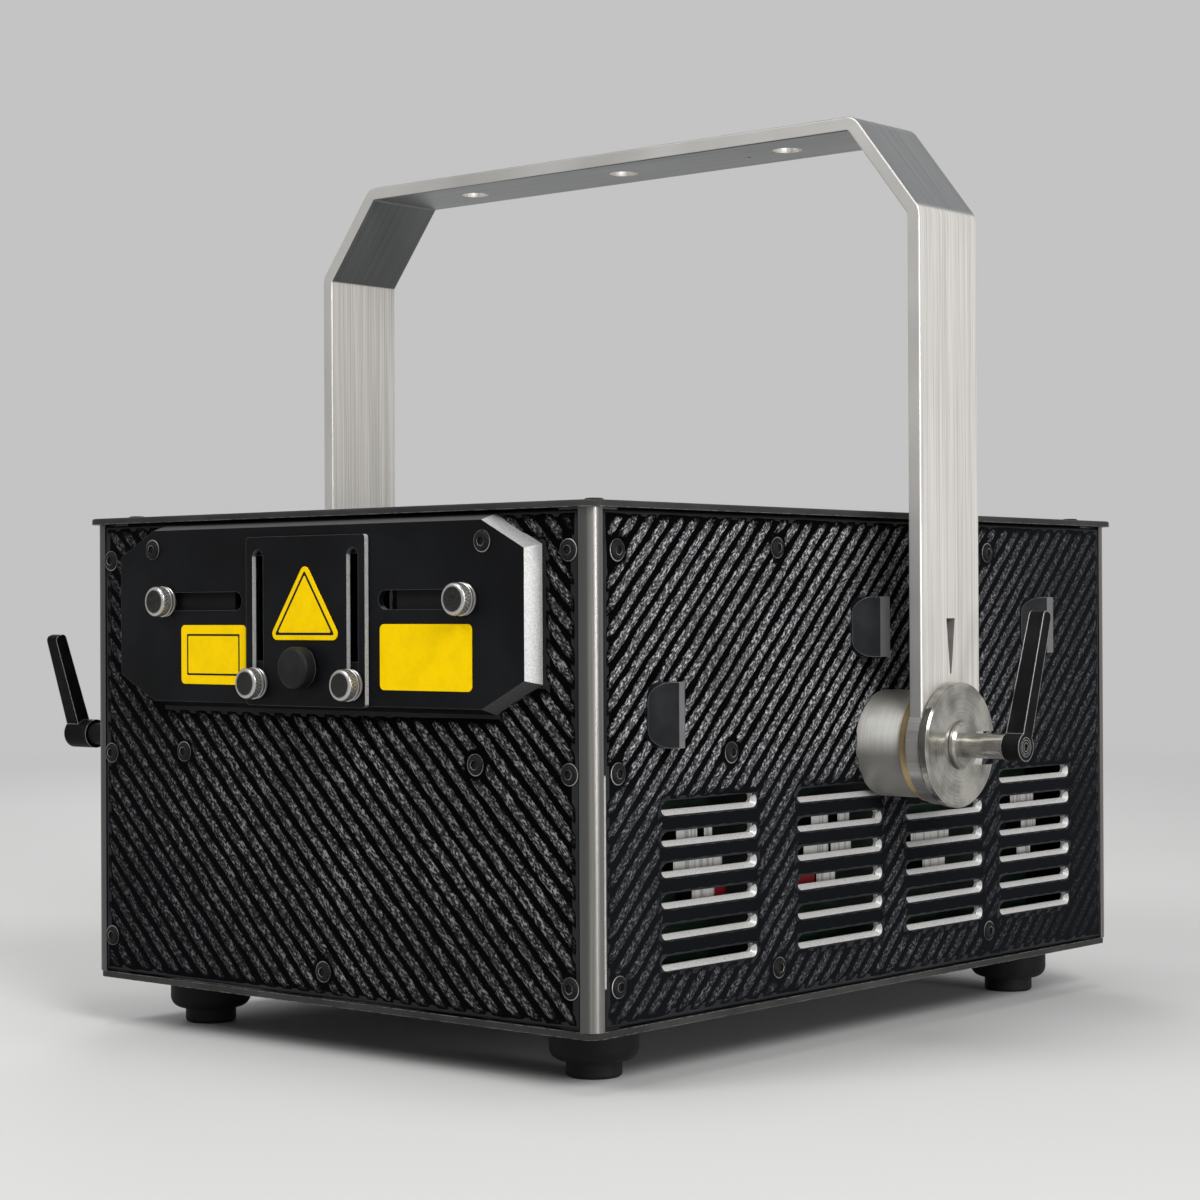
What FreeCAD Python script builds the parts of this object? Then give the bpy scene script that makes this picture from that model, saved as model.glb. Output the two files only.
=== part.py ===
import FreeCAD, Part
import os
import re
import Sketcher

# Laser show projector: a vented housing with a masked beam aperture, hung in a clamped yoke.
# Frame: +Z up, the beam leaves towards -Y, the feet stand on Z = 0. Sizes are in millimetres.
# Heights of pieces on the housing are measured from the underside of its base plate.

SIZES = {
    # housing
    "body_width": 286.5, "body_depth": 376, "body_height": 200, "foot_height": 21, "lid_thickness": 2.6,
    "lid_overhang": 3.6, "lid_corner_radius": 9, "lid_edge_radius": 0.9, "base_thickness": 2.6,
    "base_corner_radius": 6, "seam": 0.8, "overrun": 2, "running_fit": 0.08, "sliding_gap": 0.35,
    "panel_thickness": 3, "panel_gap": 0.35, "panel_bevel": 0.7, "post_leg": 6.5, "post_radius": 4.5,
    "post_flange": 12, "post_wall": 5, "screw_radius": 3.9, "screw_crown_radius": 3.2,
    "screw_height": 1.3, "screw_edge": 11, "screw_side_edge": 14.5, "screw_low": 18.5,
    "screw_foot": 13.7, "screw_under_plate": 19.2, "screw_over_vents": 16.65, "plate_screw_z": 66.3,
    "foot_radius": 17.5, "foot_flange_height": 14.5,
    "foot_pad_radius": 11, "foot_rounding": 5, "pad_rounding": 1.5, "foot_inset_x": 32,
    "foot_inset_y": 37.5,
    # milled vents
    "vent_length": 60, "vent_opening": 3.7, "vent_lip": 2, "vent_pitch": 11.85, "vent_rows": 6,
    "vent_low": 21.4, "vent_slope": 45, "vent_step": 0.2, "rear_vent_drop": 92, "rear_vent_reach": 46,
    # side bumpers
    "bumper_height": 25, "bumper_face": 8, "bumper_slope": 9, "bumper_reach": 9.5, "bumper_lip": 1.5,
    "bumper_rounding": 7, "bumper_edge": 1.5,
    # aperture plate with its masks and shutter, heights measured from the plate's lower edge
    "plate_margin": 24.25, "plate_drop": 80.8, "plate_tall": 76.8, "plate_cut_x": 23.5,
    "plate_cut_z": 12, "plate_rise": 7.6, "plate_draft": 17.5, "plate_skin": 2.6,
    "pocket_margin": 7, "opening_half_width": 32, "opening_low": 19.8, "opening_high": 62.8,
    "window_rebate": 8, "window_lap": 7, "window_thickness": 4, "slot_gap": 11.5, "slot_margin": 32.5,
    "slot_height": 44.3, "slot_half": 3.8, "mask_thickness": 2, "mask_gap": 15, "mask_margin": 9.5,
    "mask_low": 17, "mask_high": 65.2, "shutter_half_width": 34.5, "shutter_low": 1.8,
    "shutter_high": 70.3, "shutter_thickness": 2, "shutter_travel": 51, "shutter_slot_reach": 27.5,
    "shutter_slot_half": 3.2, "shutter_corner": 1.5, "thumb_low": 10.8, "thumb_radius": 6.5,
    "thumb_head": 7, "thumb_shank_radius": 2.8, "thumb_groove": 1.1, "thumb_groove_depth": 0.8,
    "thumb_chamfer": 0.7, "thumb_dish": 0.8, "thumb_dish_radius": 4.2, "knob_radius": 8.5,
    "knob_height": 7.5, "knob_z": 17.3, "knob_rounding": 1.6, "knob_neck": 6, "knob_foot": 1.8,
    # pivot and clamp, lengths along the axis measured from the outside of the panel
    "pivot_y": 3, "boss_radius": 22.5, "boss_length": 22.8, "boss_chamfer": 1.2,
    "spigot_radius": 9, "ring_radius": 24, "ring_thickness": 3.4, "disc_radius": 26,
    "disc_thickness": 4.6, "disc_slot_over": 5, "disc_slot_under": 9, "disc_chamfer": 0.8,
    "shaft_radius": 5.2, "shaft_depth": 18, "collar_radius": 10, "collar_thickness": 2.4,
    "collar_chamfer": 1, "hub_start": 60, "hub_length": 8.5, "hub_radius": 5.8, "lever_reach": 58,
    "lever_root": 3.4, "lever_root_depth": 8.5, "lever_tip": 2.9, "lever_tip_depth": 7,
    "lever_rounding": 2.2, "lever_tilt": 18, "socket_radius": 3.8, "socket_screw": 3,
    "socket_depth": 1.6, "socket_hex": 1.8,
    # yoke
    "bar_width": 44, "bar_thickness": 6, "bar_edge_radius": 0.7, "bar_bend": 323.7, "bar_top": 365,
    "bar_top_half": 143.4, "bend_radius": 2, "eye_radius": 25, "sight_high": 155, "sight_low": 132,
    "sight_half": 3.2, "sight_tip": 0.5, "hang_hole_radius": 6.5, "hang_hole_reach": 93,
    "pin_hole_radius": 1.6, "pin_hole_x": 69, "pin_hole_y": 6,
    # beam stop and its lever on the left
    "stop_gap": 38, "stop_height": 103.3, "stop_hub_start": 47, "stop_hub_length": 15.5,
    "stop_hub_radius": 6.5, "stop_lever_reach": 47.5, "stop_tilt": 17, "stop_shaft_radius": 5,
    "flag_half_width": 28, "flag_over": 13.3, "flag_thickness": 2, "stop_bracket_x": 33,
    "stop_bracket_thickness": 8, "stop_bracket_width": 26,
    # optics inside, set off from the lid, the panels and the front
    "bench_margin": 21.25, "bench_front_gap": 82, "bench_rear_gap": 76, "bench_drop": 94,
    "bench_thickness": 6, "leg_radius": 7, "leg_inset": 12, "leg_clear": 2, "beam_drop": 60,
    "exit_drop": 44, "beam_gap": 138, "module_height": 52, "module_gap": 30, "module_port": 4,
    "mirror_size": 20,
    "mirror_thickness": 2, "mirror_post": 4, "motor_radius": 7, "motor_length": 30, "motor_shaft": 1.6,
    "motor_clear": 6, "motor_wall": 5, "galvo_width": 9, "galvo_length": 12, "galvo_thickness": 1.2,
    "galvo_wide_length": 20, "fin_thickness": 2.4, "fin_count": 9, "sink_length": 110, "sink_plate": 5,
    "sink_clear": 6,
    # electronics and fans inside
    "supply_height": 46, "supply_gap": 3, "supply_rear": 58, "terminal_length": 12,
    "terminal_height": 16, "board_thickness": 1.6, "board_gap": 20, "board_lift": 4, "board_clear": 3,
    "board_foot": 11, "board_foot_length": 14, "cap_radius": 9, "cap_height": 26, "chip_tall": 22,
    "chip_length": 34, "chip_depth": 18, "plug_depth": 9, "plug_tall": 7.5, "fan_size": 80,
    "fan_depth": 25, "fan_bore": 38, "fan_hub": 17,
    "fan_blade_gap": 1.2, "fan_blade": 2, "fan_blade_lean": 9, "fan_blade_rise": 18, "fan_count": 7,
    "fan_webs": 3, "fan_pin": 3, "fan_spider": 3, "fan_drop": 59,
    # rear fittings
    "fitting_margin": 39.25, "inlet_z": 47, "inlet_width": 32, "inlet_tall": 62, "inlet_flange": 2.5,
    "inlet_depth": 22, "socket_width": 24, "socket_tall": 16, "socket_deep": 14, "socket_drop": 13,
    "inlet_wall": 2, "blade_width": 4, "blade_tall": 2, "blade_spread": 7, "blade_length": 9,
    "rocker_width": 20, "rocker_half": 6.4, "rocker_rise": 15, "rocker_proud": 4.6, "rocker_deep": 5,
    "rocker_gap": 0.7, "rocker_tilt": 8, "rocker_dip": 1.6, "lock_radius": 11,
    "lock_flange": 2.5, "lock_body": 9, "lock_depth": 24, "plug_radius": 5, "plug_length": 12,
    "key_neck": 7, "key_thickness": 2.2, "key_bow": 6.5, "key_bow_reach": 8.3, "key_eye": 2.4,
    "jack_z": 47, "jack_width": 26, "jack_tall": 31,
    "jack_flange": 2.2, "jack_radius": 11.5, "jack_depth": 20, "jack_lip": 10, "jack_rise": 3,
    "jack_hole": 1.6, "jack_spread": 4, "port_width": 53, "port_tall": 12.5,
    "port_shell": 39, "port_shell_tall": 8.4, "port_rise": 5.5, "port_slope": 2,
}

# The pivot, vent columns, extra screws and bumpers as shares of the housing's depth, width or height.
PIVOT_SHARE = 0.5125
VENT_COLUMN_SHARES = (-0.3137, -0.0814, 0.1267, 0.3251)
FRONT_SCREW_SHARES = (-0.295, 0.295)
SCREW_MID_SHARE = 0.49
SIDE_SCREW_SHARES = ((-0.196, 0.077), (0.22, 0.077), (-0.196, 0.919), (0.22, 0.919))
VENT_SCREW_SHARE = -0.2775
# Each bumper has its rear edge, its height and the depth of its own flat face as shares.
BUMPER_SHARES = ((-0.383, 0.596, 0.55), (-0.0175, 0.758, 1), (0.3318, 0.757, 0.8))
# Optics and electronics as shares of the housing's width or depth.
MODULE_SHARES = (0.1187, 0.246, 0.3735)
MODULE_WIDTH_SHARE = 0.1187
MODULE_LENGTH_SHARE = 0.2
FIN_SHARE = 0.23
SUPPLY_LENGTH_SHARE = 0.4255
BOARD_LENGTH_SHARE = 0.8
BOARD_FOOT_SHARES = (-0.42, 0.42)
# Parts on the inside of the board as shares of the way between the bench's legs and of its height.
CAP_SHARES = ((-0.34, -0.2), (-0.2, -0.2), (0.14, -0.2), (0.28, -0.2))
CHIP_SHARES = ((-0.25, 0.22), (0.22, 0.22))
# Each plug on the outside of the board has its middle, its height and its length as shares of the board.
PLUG_SHARES = (
    (-0.382, 0.17, 0.044), (-0.337, 0.17, 0.017), (-0.086, 0.17, 0.04), (-0.029, 0.17, 0.028),
    (0.446, 0.17, 0.067), (-0.359, 0.045, 0.103), (-0.095, 0.045, 0.058), (-0.035, 0.045, 0.049),
    (0.19, 0.045, 0.1), (0.465, 0.045, 0.043), (-0.347, -0.076, 0.05), (-0.311, -0.076, 0.022),
    (-0.119, -0.076, 0.041), (-0.072, -0.076, 0.044), (0.2, -0.076, 0.059), (0.45, -0.076, 0.039))
LOCK_SHARE = 0.2024
JACK_SHARES = (-0.035, -0.14)

HALF_WIDTH = "body_width / 2"
HALF_DEPTH = "body_depth / 2"
FLOOR = "(foot_height + base_thickness)"
CEILING = "(foot_height + body_height - lid_thickness)"
PANEL_LOW = FLOOR + " + seam"
PANEL_HIGH = CEILING + " - seam"
PIVOT_Z = f"(foot_height + {PIVOT_SHARE} * body_height)"
BAR_INSIDE = "(body_width / 2 + boss_length + ring_thickness + sliding_gap)"
BAR_OUTSIDE = "(" + BAR_INSIDE + " + bar_thickness)"
SPIGOT_END = "(boss_length + ring_thickness + 2 * sliding_gap + bar_thickness)"
DISC_FACE = "(" + SPIGOT_END + " + disc_thickness)"
PLATE_FACE = "(body_depth / 2 + plate_rise)"
SHUTTER_BACK = "(" + PLATE_FACE + " + sliding_gap)"
SHUTTER_FACE = "(" + SHUTTER_BACK + " + shutter_thickness)"
PLATE_FOOT = "(foot_height + body_height - plate_drop)"
PLATE_HALF = "(body_width / 2 - plate_margin)"
SLOT_OUTER = "(body_width / 2 - plate_margin - slot_margin)"
STOP_Y = "(stop_gap - body_depth / 2)"
BENCH_UNDER = "(foot_height + body_height - bench_drop)"
BENCH_TOP = "(" + BENCH_UNDER + " + bench_thickness)"
BENCH_HALF = "(body_width / 2 - bench_margin)"
BENCH_FRONT = "(bench_front_gap - body_depth / 2)"
BENCH_REAR = "(body_depth / 2 - bench_rear_gap)"
BEAM_Y = "(beam_gap - body_depth / 2)"
BEAM_Z = "(foot_height + body_height - beam_drop)"
EXIT_Z = "(foot_height + body_height - exit_drop)"
FAN_Z = "foot_height + body_height - fan_drop"
FITTING_X = "(body_width / 2 - fitting_margin)"
REAR_INSIDE = "(body_depth / 2 - panel_thickness)"

NAME = re.compile(r"[a-z][a-z_0-9]*")
SAME = 1e-4
AXIS_TURN = {"X": ((0, 1, 0), 90), "Y": ((1, 0, 0), -90), "Z": ((0, 0, 1), 0)}

V = FreeCAD.Vector
doc = FreeCAD.newDocument("laser_projector")
sheet = doc.addObject("Spreadsheet::Sheet", "Sizes")
for row, (alias, size) in enumerate(SIZES.items(), start=1):
    sheet.set(f"A{row}", alias)
    sheet.set(f"B{row}", str(size))
    sheet.setAlias(f"B{row}", alias)
doc.recompute()

nodes = []


def bound(text):
    """Point every size name in an expression at its cell of the sheet."""
    return NAME.sub(lambda found: "Sizes." + found.group() if found.group() in SIZES else found.group(), text)


def value(text):
    """The number that an expression has now."""
    return float(sheet.evalExpression(bound(text)))


def bind(thing, **expressions):
    """Bind properties of an object to expressions on the sheet."""
    for name, text in expressions.items():
        thing.setExpression(name, bound(text))


def place(thing, x, y, z):
    """Bind where an object stands."""
    for letter, text in zip("xyz", (x, y, z)):
        thing.setExpression("Placement.Base." + letter, bound(text))


def turn_about_x(thing, angle):
    """Bind how far an object is turned about the X axis."""
    thing.Placement = FreeCAD.Placement(V(), FreeCAD.Rotation(V(1, 0, 0), value(angle)))
    thing.setExpression("Placement.Rotation.Angle", bound(angle))


def node(thing, name):
    """Count an object among the sub-parts under its own label."""
    thing.Label = name
    nodes.append(thing)
    return thing


# Sketch outlines


def pin(sketch, geometry, point, u, v):
    """Hold one point of a sketch at a pair of expressions."""
    for kind, text in (("DistanceX", u), ("DistanceY", v)):
        number = sketch.addConstraint(Sketcher.Constraint(kind, -1, 1, geometry, point, value(text)))
        sketch.setExpression(f"Constraints[{number}]", bound(text))


def polygon(*corners):
    """A closed outline through corners, each a pair of expressions."""
    def draw(sketch):
        spots = [V(value(u), value(v), 0) for u, v in corners]
        first = sketch.GeometryCount
        for here, there in zip(spots, spots[1:] + spots[:1]):
            sketch.addGeometry(Part.LineSegment(here, there), False)
        for i, (u, v) in enumerate(corners):
            following = first + (i + 1) % len(corners)
            sketch.addConstraint(Sketcher.Constraint("Coincident", first + i, 2, following, 1))
            pin(sketch, first + i, 1, u, v)
    return draw


def rectangle(u_low, u_high, v_low, v_high):
    """A rectangle between two pairs of expressions."""
    return polygon((u_low, v_low), (u_high, v_low), (u_high, v_high), (u_low, v_high))


def circle(u, v, radius):
    """A circle about a pair of expressions."""
    def draw(sketch):
        number = sketch.addGeometry(Part.Circle(V(value(u), value(v), 0), V(0, 0, 1), value(radius)), False)
        pin(sketch, number, 3, u, v)
        size = sketch.addConstraint(Sketcher.Constraint("Radius", number, value(radius)))
        sketch.setExpression(f"Constraints[{size}]", bound(radius))
    return draw


def obround(start, end, radius):
    """A slot with round ends about two centres, each a pair of expressions."""
    def draw(sketch):
        a = V(value(start[0]), value(start[1]), 0)
        b = V(value(end[0]), value(end[1]), 0)
        along = (b - a).normalize()
        side = V(-along.y, along.x, 0) * value(radius)
        turn = along.getAngle(V(1, 0, 0)) * (1 if along.y >= 0 else -1)
        quarter = FreeCAD.Units.Quantity("90 deg").getValueAs("rad").Value
        first = sketch.GeometryCount
        cap = Part.Circle(b, V(0, 0, 1), value(radius))
        tail = Part.Circle(a, V(0, 0, 1), value(radius))
        sketch.addGeometry(Part.LineSegment(a + side, b + side), False)
        sketch.addGeometry(Part.ArcOfCircle(cap, turn - quarter, turn + quarter), False)
        sketch.addGeometry(Part.LineSegment(b - side, a - side), False)
        sketch.addGeometry(Part.ArcOfCircle(tail, turn + quarter, turn + 3 * quarter), False)
        for one, one_end, two, two_end in ((0, 2, 1, 2), (1, 1, 2, 1), (2, 2, 3, 2), (3, 1, 0, 1)):
            sketch.addConstraint(Sketcher.Constraint("Tangent", first + one, one_end, first + two, two_end))
        sketch.addConstraint(Sketcher.Constraint("Equal", first + 1, first + 3))
        pin(sketch, first + 1, 3, *end)
        pin(sketch, first + 3, 3, *start)
        size = sketch.addConstraint(Sketcher.Constraint("Radius", first + 1, value(radius)))
        sketch.setExpression(f"Constraints[{size}]", bound(radius))
    return draw


class Piece:
    """A sub-part that is built feature by feature in a body of its own."""

    def __init__(self, name, counted=True):
        self.body = doc.addObject("PartDesign::Body", name)
        if counted:
            node(self.body, name)

    def origin(self, role):
        """A plane or axis of the body's own origin."""
        return next(f for f in self.body.Origin.OriginFeatures if f.Role == role)

    def sketch(self, plane, outlines, offset="0"):
        """A sketch on an origin plane, moved along the plane's normal."""
        made = self.body.newObject("Sketcher::SketchObject", "sketch")
        made.AttachmentSupport = [(self.origin(plane + "_Plane"), "")]
        made.MapMode = "FlatFace"
        made.setExpression("AttachmentOffset.Base.z", bound(offset))
        for draw in outlines:
            draw(made)
        return made

    def extrude(self, kind, plane, outlines, length, offset="0", both=False, back=False, taper=None):
        """A pad or pocket of a sketch."""
        feature = self.body.newObject("PartDesign::" + kind, kind.lower())
        feature.Profile = self.sketch(plane, outlines, offset)
        feature.Midplane = both
        feature.Reversed = back
        bind(feature, Length=length)
        if taper:
            bind(feature, TaperAngle=taper)
        doc.recompute()
        return feature

    def pad(self, *args, **options):
        """Add material over a sketch."""
        return self.extrude("Pad", *args, **options)

    def pocket(self, *args, **options):
        """Take material under a sketch, and make sure that some went."""
        before = self.body.Shape.Volume
        feature = self.extrude("Pocket", *args, **options)
        if not self.body.Shape.Volume < before:
            raise RuntimeError(self.body.Label + ": a pocket cuts nothing")
        return feature

    def revolve(self, plane, outlines, axis="H_Axis"):
        """Turn a sketch once about one of its own axes."""
        feature = self.body.newObject("PartDesign::Revolution", "turned")
        profile = self.sketch(plane, outlines)
        feature.Profile = profile
        feature.ReferenceAxis = (profile, [axis])
        doc.recompute()
        return feature

    def repeat(self, features, axis, length, count):
        """Repeat features in a row along an origin axis."""
        pattern = self.body.newObject("PartDesign::LinearPattern", "row")
        pattern.Originals = features
        pattern.Direction = (self.origin(axis + "_Axis"), [""])
        bind(pattern, Length=length, Occurrences=count)
        self.body.Tip = pattern
        doc.recompute()

    def spin(self, features, axis, count):
        """Repeat features in a circle about an origin axis."""
        pattern = self.body.newObject("PartDesign::PolarPattern", "circle")
        pattern.Originals = features
        pattern.Axis = (self.origin(axis + "_Axis"), [""])
        pattern.Angle = 360
        bind(pattern, Occurrences=count)
        self.body.Tip = pattern
        doc.recompute()

    def edge_names(self, test):
        """Names of the edges of the shape so far that pass a test."""
        return [f"Edge{i}" for i, edge in enumerate(self.body.Tip.Shape.Edges, start=1) if test(edge)]

    def soften(self, kind, size, test):
        """Fillet or chamfer the edges that pass a test."""
        base = self.body.Tip
        names = self.edge_names(test)
        feature = self.body.newObject("PartDesign::" + kind, kind.lower())
        feature.Base = (base, names)
        bind(feature, **{"Radius" if kind == "Fillet" else "Size": size})
        doc.recompute()


def near(a, b):
    """Whether two lengths are the same."""
    return abs(a - b) < SAME


def runs(edge, axis):
    """Whether an edge is a straight line along an axis."""
    if edge.Curve.TypeId != "Part::GeomLine":
        return False
    step = edge.Vertexes[-1].Point - edge.Vertexes[0].Point
    return all(near(getattr(step, letter), 0) for letter in "xyz" if letter != axis)


def rim(edge, radius):
    """Whether an edge is part of a circle of a radius."""
    return edge.Curve.TypeId == "Part::GeomCircle" and near(edge.Curve.Radius, value(radius))


def lies(edge, axis, place_text):
    """Whether all of an edge lies at one place on an axis."""
    spot = value(place_text)
    return all(near(getattr(corner.Point, axis), spot) for corner in edge.Vertexes)


# Plain solids


def box(name, size, centre):
    """A block of a size about a centre."""
    made = doc.addObject("Part::Box", name)
    bind(made, Length=size[0], Width=size[1], Height=size[2])
    place(made, *[f"{middle} - ({length}) / 2" for middle, length in zip(centre, size)])
    return made


def rod(name, radius, length, centre, axis):
    """A round rod along an axis about a centre."""
    made = doc.addObject("Part::Cylinder", name)
    turn, angle = AXIS_TURN[axis]
    made.Placement = FreeCAD.Placement(V(), FreeCAD.Rotation(V(*turn), angle))
    bind(made, Radius=radius, Height=length)
    place(made, *[f"{middle} - ({length}) / 2" if letter == axis else middle
                  for letter, middle in zip("XYZ", centre)])
    return made


def joined(name, pieces):
    """One solid from solids that overlap."""
    made = doc.addObject("Part::MultiFuse", name)
    made.Shapes = pieces
    made.Refine = True
    return made


def cut(name, base, tools):
    """A solid with others taken out of it."""
    made = doc.addObject("Part::Cut", name)
    made.Base = base
    made.Tool = tools[0] if len(tools) == 1 else joined(name + "_tools", tools)
    return made


def group(name, pieces):
    """Separate solids that share one node."""
    made = doc.addObject("Part::Compound", name)
    made.Links = pieces
    return node(made, name)


def mirror(name, source, normal=(1, 0, 0)):
    """The opposite hand of a sub-part across the middle of the housing."""
    made = doc.addObject("Part::Mirroring", name)
    made.Source = source
    made.Normal = V(*normal)
    return made


# Housing


def build_shell():
    """Base plate, corner posts and lid."""
    reach_x = HALF_WIDTH
    reach_y = HALF_DEPTH
    base = Piece("base_plate")
    base.pad("XY", [rectangle("-" + reach_x, reach_x, "-" + reach_y, reach_y)], "base_thickness",
             "foot_height")
    base.soften("Fillet", "base_corner_radius", lambda edge: runs(edge, "z"))

    post = Piece("corner_post_front_right")

    def corner(across, along):
        return (f"{HALF_WIDTH} - ({across})", f"{along} - {HALF_DEPTH}")

    deep = "panel_thickness + post_wall"
    long = "post_leg + post_flange"
    post.pad("XY", [polygon(
        corner("0", "0"), corner("post_leg", "0"), corner("post_leg", "panel_thickness"),
        corner(long, "panel_thickness"), corner(long, deep), corner(deep, deep), corner(deep, long),
        corner("panel_thickness", long), corner("panel_thickness", "post_leg"), corner("0", "post_leg"))],
        CEILING + " - " + FLOOR, FLOOR)
    post.soften("Fillet", "post_radius", lambda edge: runs(edge, "z") and lies(edge, "x", HALF_WIDTH)
                and lies(edge, "y", "-" + HALF_DEPTH))
    back = node(mirror("corner_post_rear_right", post.body, (0, 1, 0)), "corner_post_rear_right")
    node(mirror("corner_post_front_left", post.body), "corner_post_front_left")
    node(mirror("corner_post_rear_left", back), "corner_post_rear_left")

    lid = Piece("top_lid")
    reach_x += " + lid_overhang"
    reach_y += " + lid_overhang"
    lid.pad("XY", [rectangle(f"-({reach_x})", reach_x, f"-({reach_y})", reach_y)], "lid_thickness", CEILING)
    lid.soften("Fillet", "lid_corner_radius", lambda edge: runs(edge, "z"))
    lid.soften("Fillet", "lid_edge_radius", lambda edge: lies(edge, "z", CEILING + " + lid_thickness"))


def vents(piece, face, columns, low):
    """Mill columns of level slots, each with a sloped lower lip that runs up its ends, through a panel.

    face is the panel's own sketch plane and columns holds the middle of each column. The lip is a
    countersink that starts below the slot and ends just under its upper edge.
    """
    outside = f"1 * {HALF_WIDTH}" if face == "YZ" else f"-1 * {HALF_DEPTH}"
    half = "(vent_opening / 2)"
    sink = "((vent_lip + vent_opening - vent_step) / 2)"

    def slot(middle, inset, rise, radius):
        reach = f"(vent_length / 2 - {inset} - {radius})"
        level = f"foot_height + {low} + {rise}"
        return [obround((f"{middle} - {reach}", level), (f"{middle} + {reach}", level), radius)]

    for middle in columns:
        opening = piece.pocket(face, slot(middle, "vent_lip", f"vent_lip + {half}", half),
                               "2 * (panel_thickness + overrun)", outside, both=True)
        lip = piece.pocket(face, slot(middle, "0", sink, sink), "vent_lip", outside, back=face == "XZ",
                           taper="-1 * vent_slope")
        piece.repeat([opening, lip], "Z", "vent_pitch * (vent_rows - 1)", "vent_rows")


def build_panels():
    """Front, side and rear panels between the posts."""
    reach_x = "(body_width / 2 - post_leg - panel_gap)"
    reach_y = "(body_depth / 2 - post_leg - panel_gap)"
    front = Piece("front_panel")
    front.pad("XZ", [rectangle("-" + reach_x, reach_x, PANEL_LOW, PANEL_HIGH)], "panel_thickness",
              REAR_INSIDE)
    front.soften("Chamfer", "panel_bevel", lambda edge: lies(edge, "y", "-" + HALF_DEPTH))
    clear = "(opening_half_width + window_rebate)"
    front.pocket("XZ", [rectangle("-" + clear, clear, PLATE_FOOT + " + opening_low - window_rebate / 2",
                                  PLATE_FOOT + " + opening_high + window_rebate / 2")],
                 "2 * panel_thickness + overrun", HALF_DEPTH, both=True)

    right = Piece("right_panel")
    right.pad("YZ", [rectangle("-" + reach_y, reach_y, PANEL_LOW, PANEL_HIGH)], "panel_thickness",
              HALF_WIDTH + " - panel_thickness")
    right.soften("Chamfer", "panel_bevel", lambda edge: lies(edge, "x", HALF_WIDTH))
    vents(right, "YZ", [f"{share} * body_depth" for share in VENT_COLUMN_SHARES], "vent_low")
    hole = rod("stop_hole", "stop_shaft_radius + running_fit", "2 * panel_thickness + overrun",
               ("-" + HALF_WIDTH, STOP_Y, "foot_height + stop_height"), "X")
    node(cut("left_panel", mirror("left_panel_blank", right.body), [hole]), "left_panel")

    rear = Piece("rear_panel")
    rear.pad("XZ", [rectangle("-" + reach_x, reach_x, PANEL_LOW, PANEL_HIGH)], "panel_thickness",
             "-" + HALF_DEPTH)
    rear.soften("Chamfer", "panel_bevel", lambda edge: lies(edge, "y", HALF_DEPTH))
    vents(rear, "XZ", ["-1 * rear_vent_reach", "rear_vent_reach"], "body_height - rear_vent_drop")

    def hole_for(x, z, width, tall):
        half = f"({width}) / 2 + panel_gap"
        rise = f"({tall}) / 2 + panel_gap"
        return rectangle(f"{x} - ({half})", f"{x} + {half}", f"foot_height + {z} - ({rise})",
                         f"foot_height + {z} + {rise}")

    cuts = [hole_for(FITTING_X, "inlet_z", "inlet_width - 2 * inlet_wall", "inlet_tall - 2 * inlet_wall"),
            hole_for("-1 * " + FITTING_X, "jack_z", "port_shell", "port_shell_tall"),
            circle(f"{LOCK_SHARE} * body_width", "foot_height + jack_z", "lock_body + panel_gap")]
    for share in JACK_SHARES:
        cuts.append(circle(f"{share} * body_width", "foot_height + jack_z", "jack_radius + panel_gap"))
    rear.pocket("XZ", cuts, "2 * panel_thickness + overrun", "-" + HALF_DEPTH, both=True)


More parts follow.
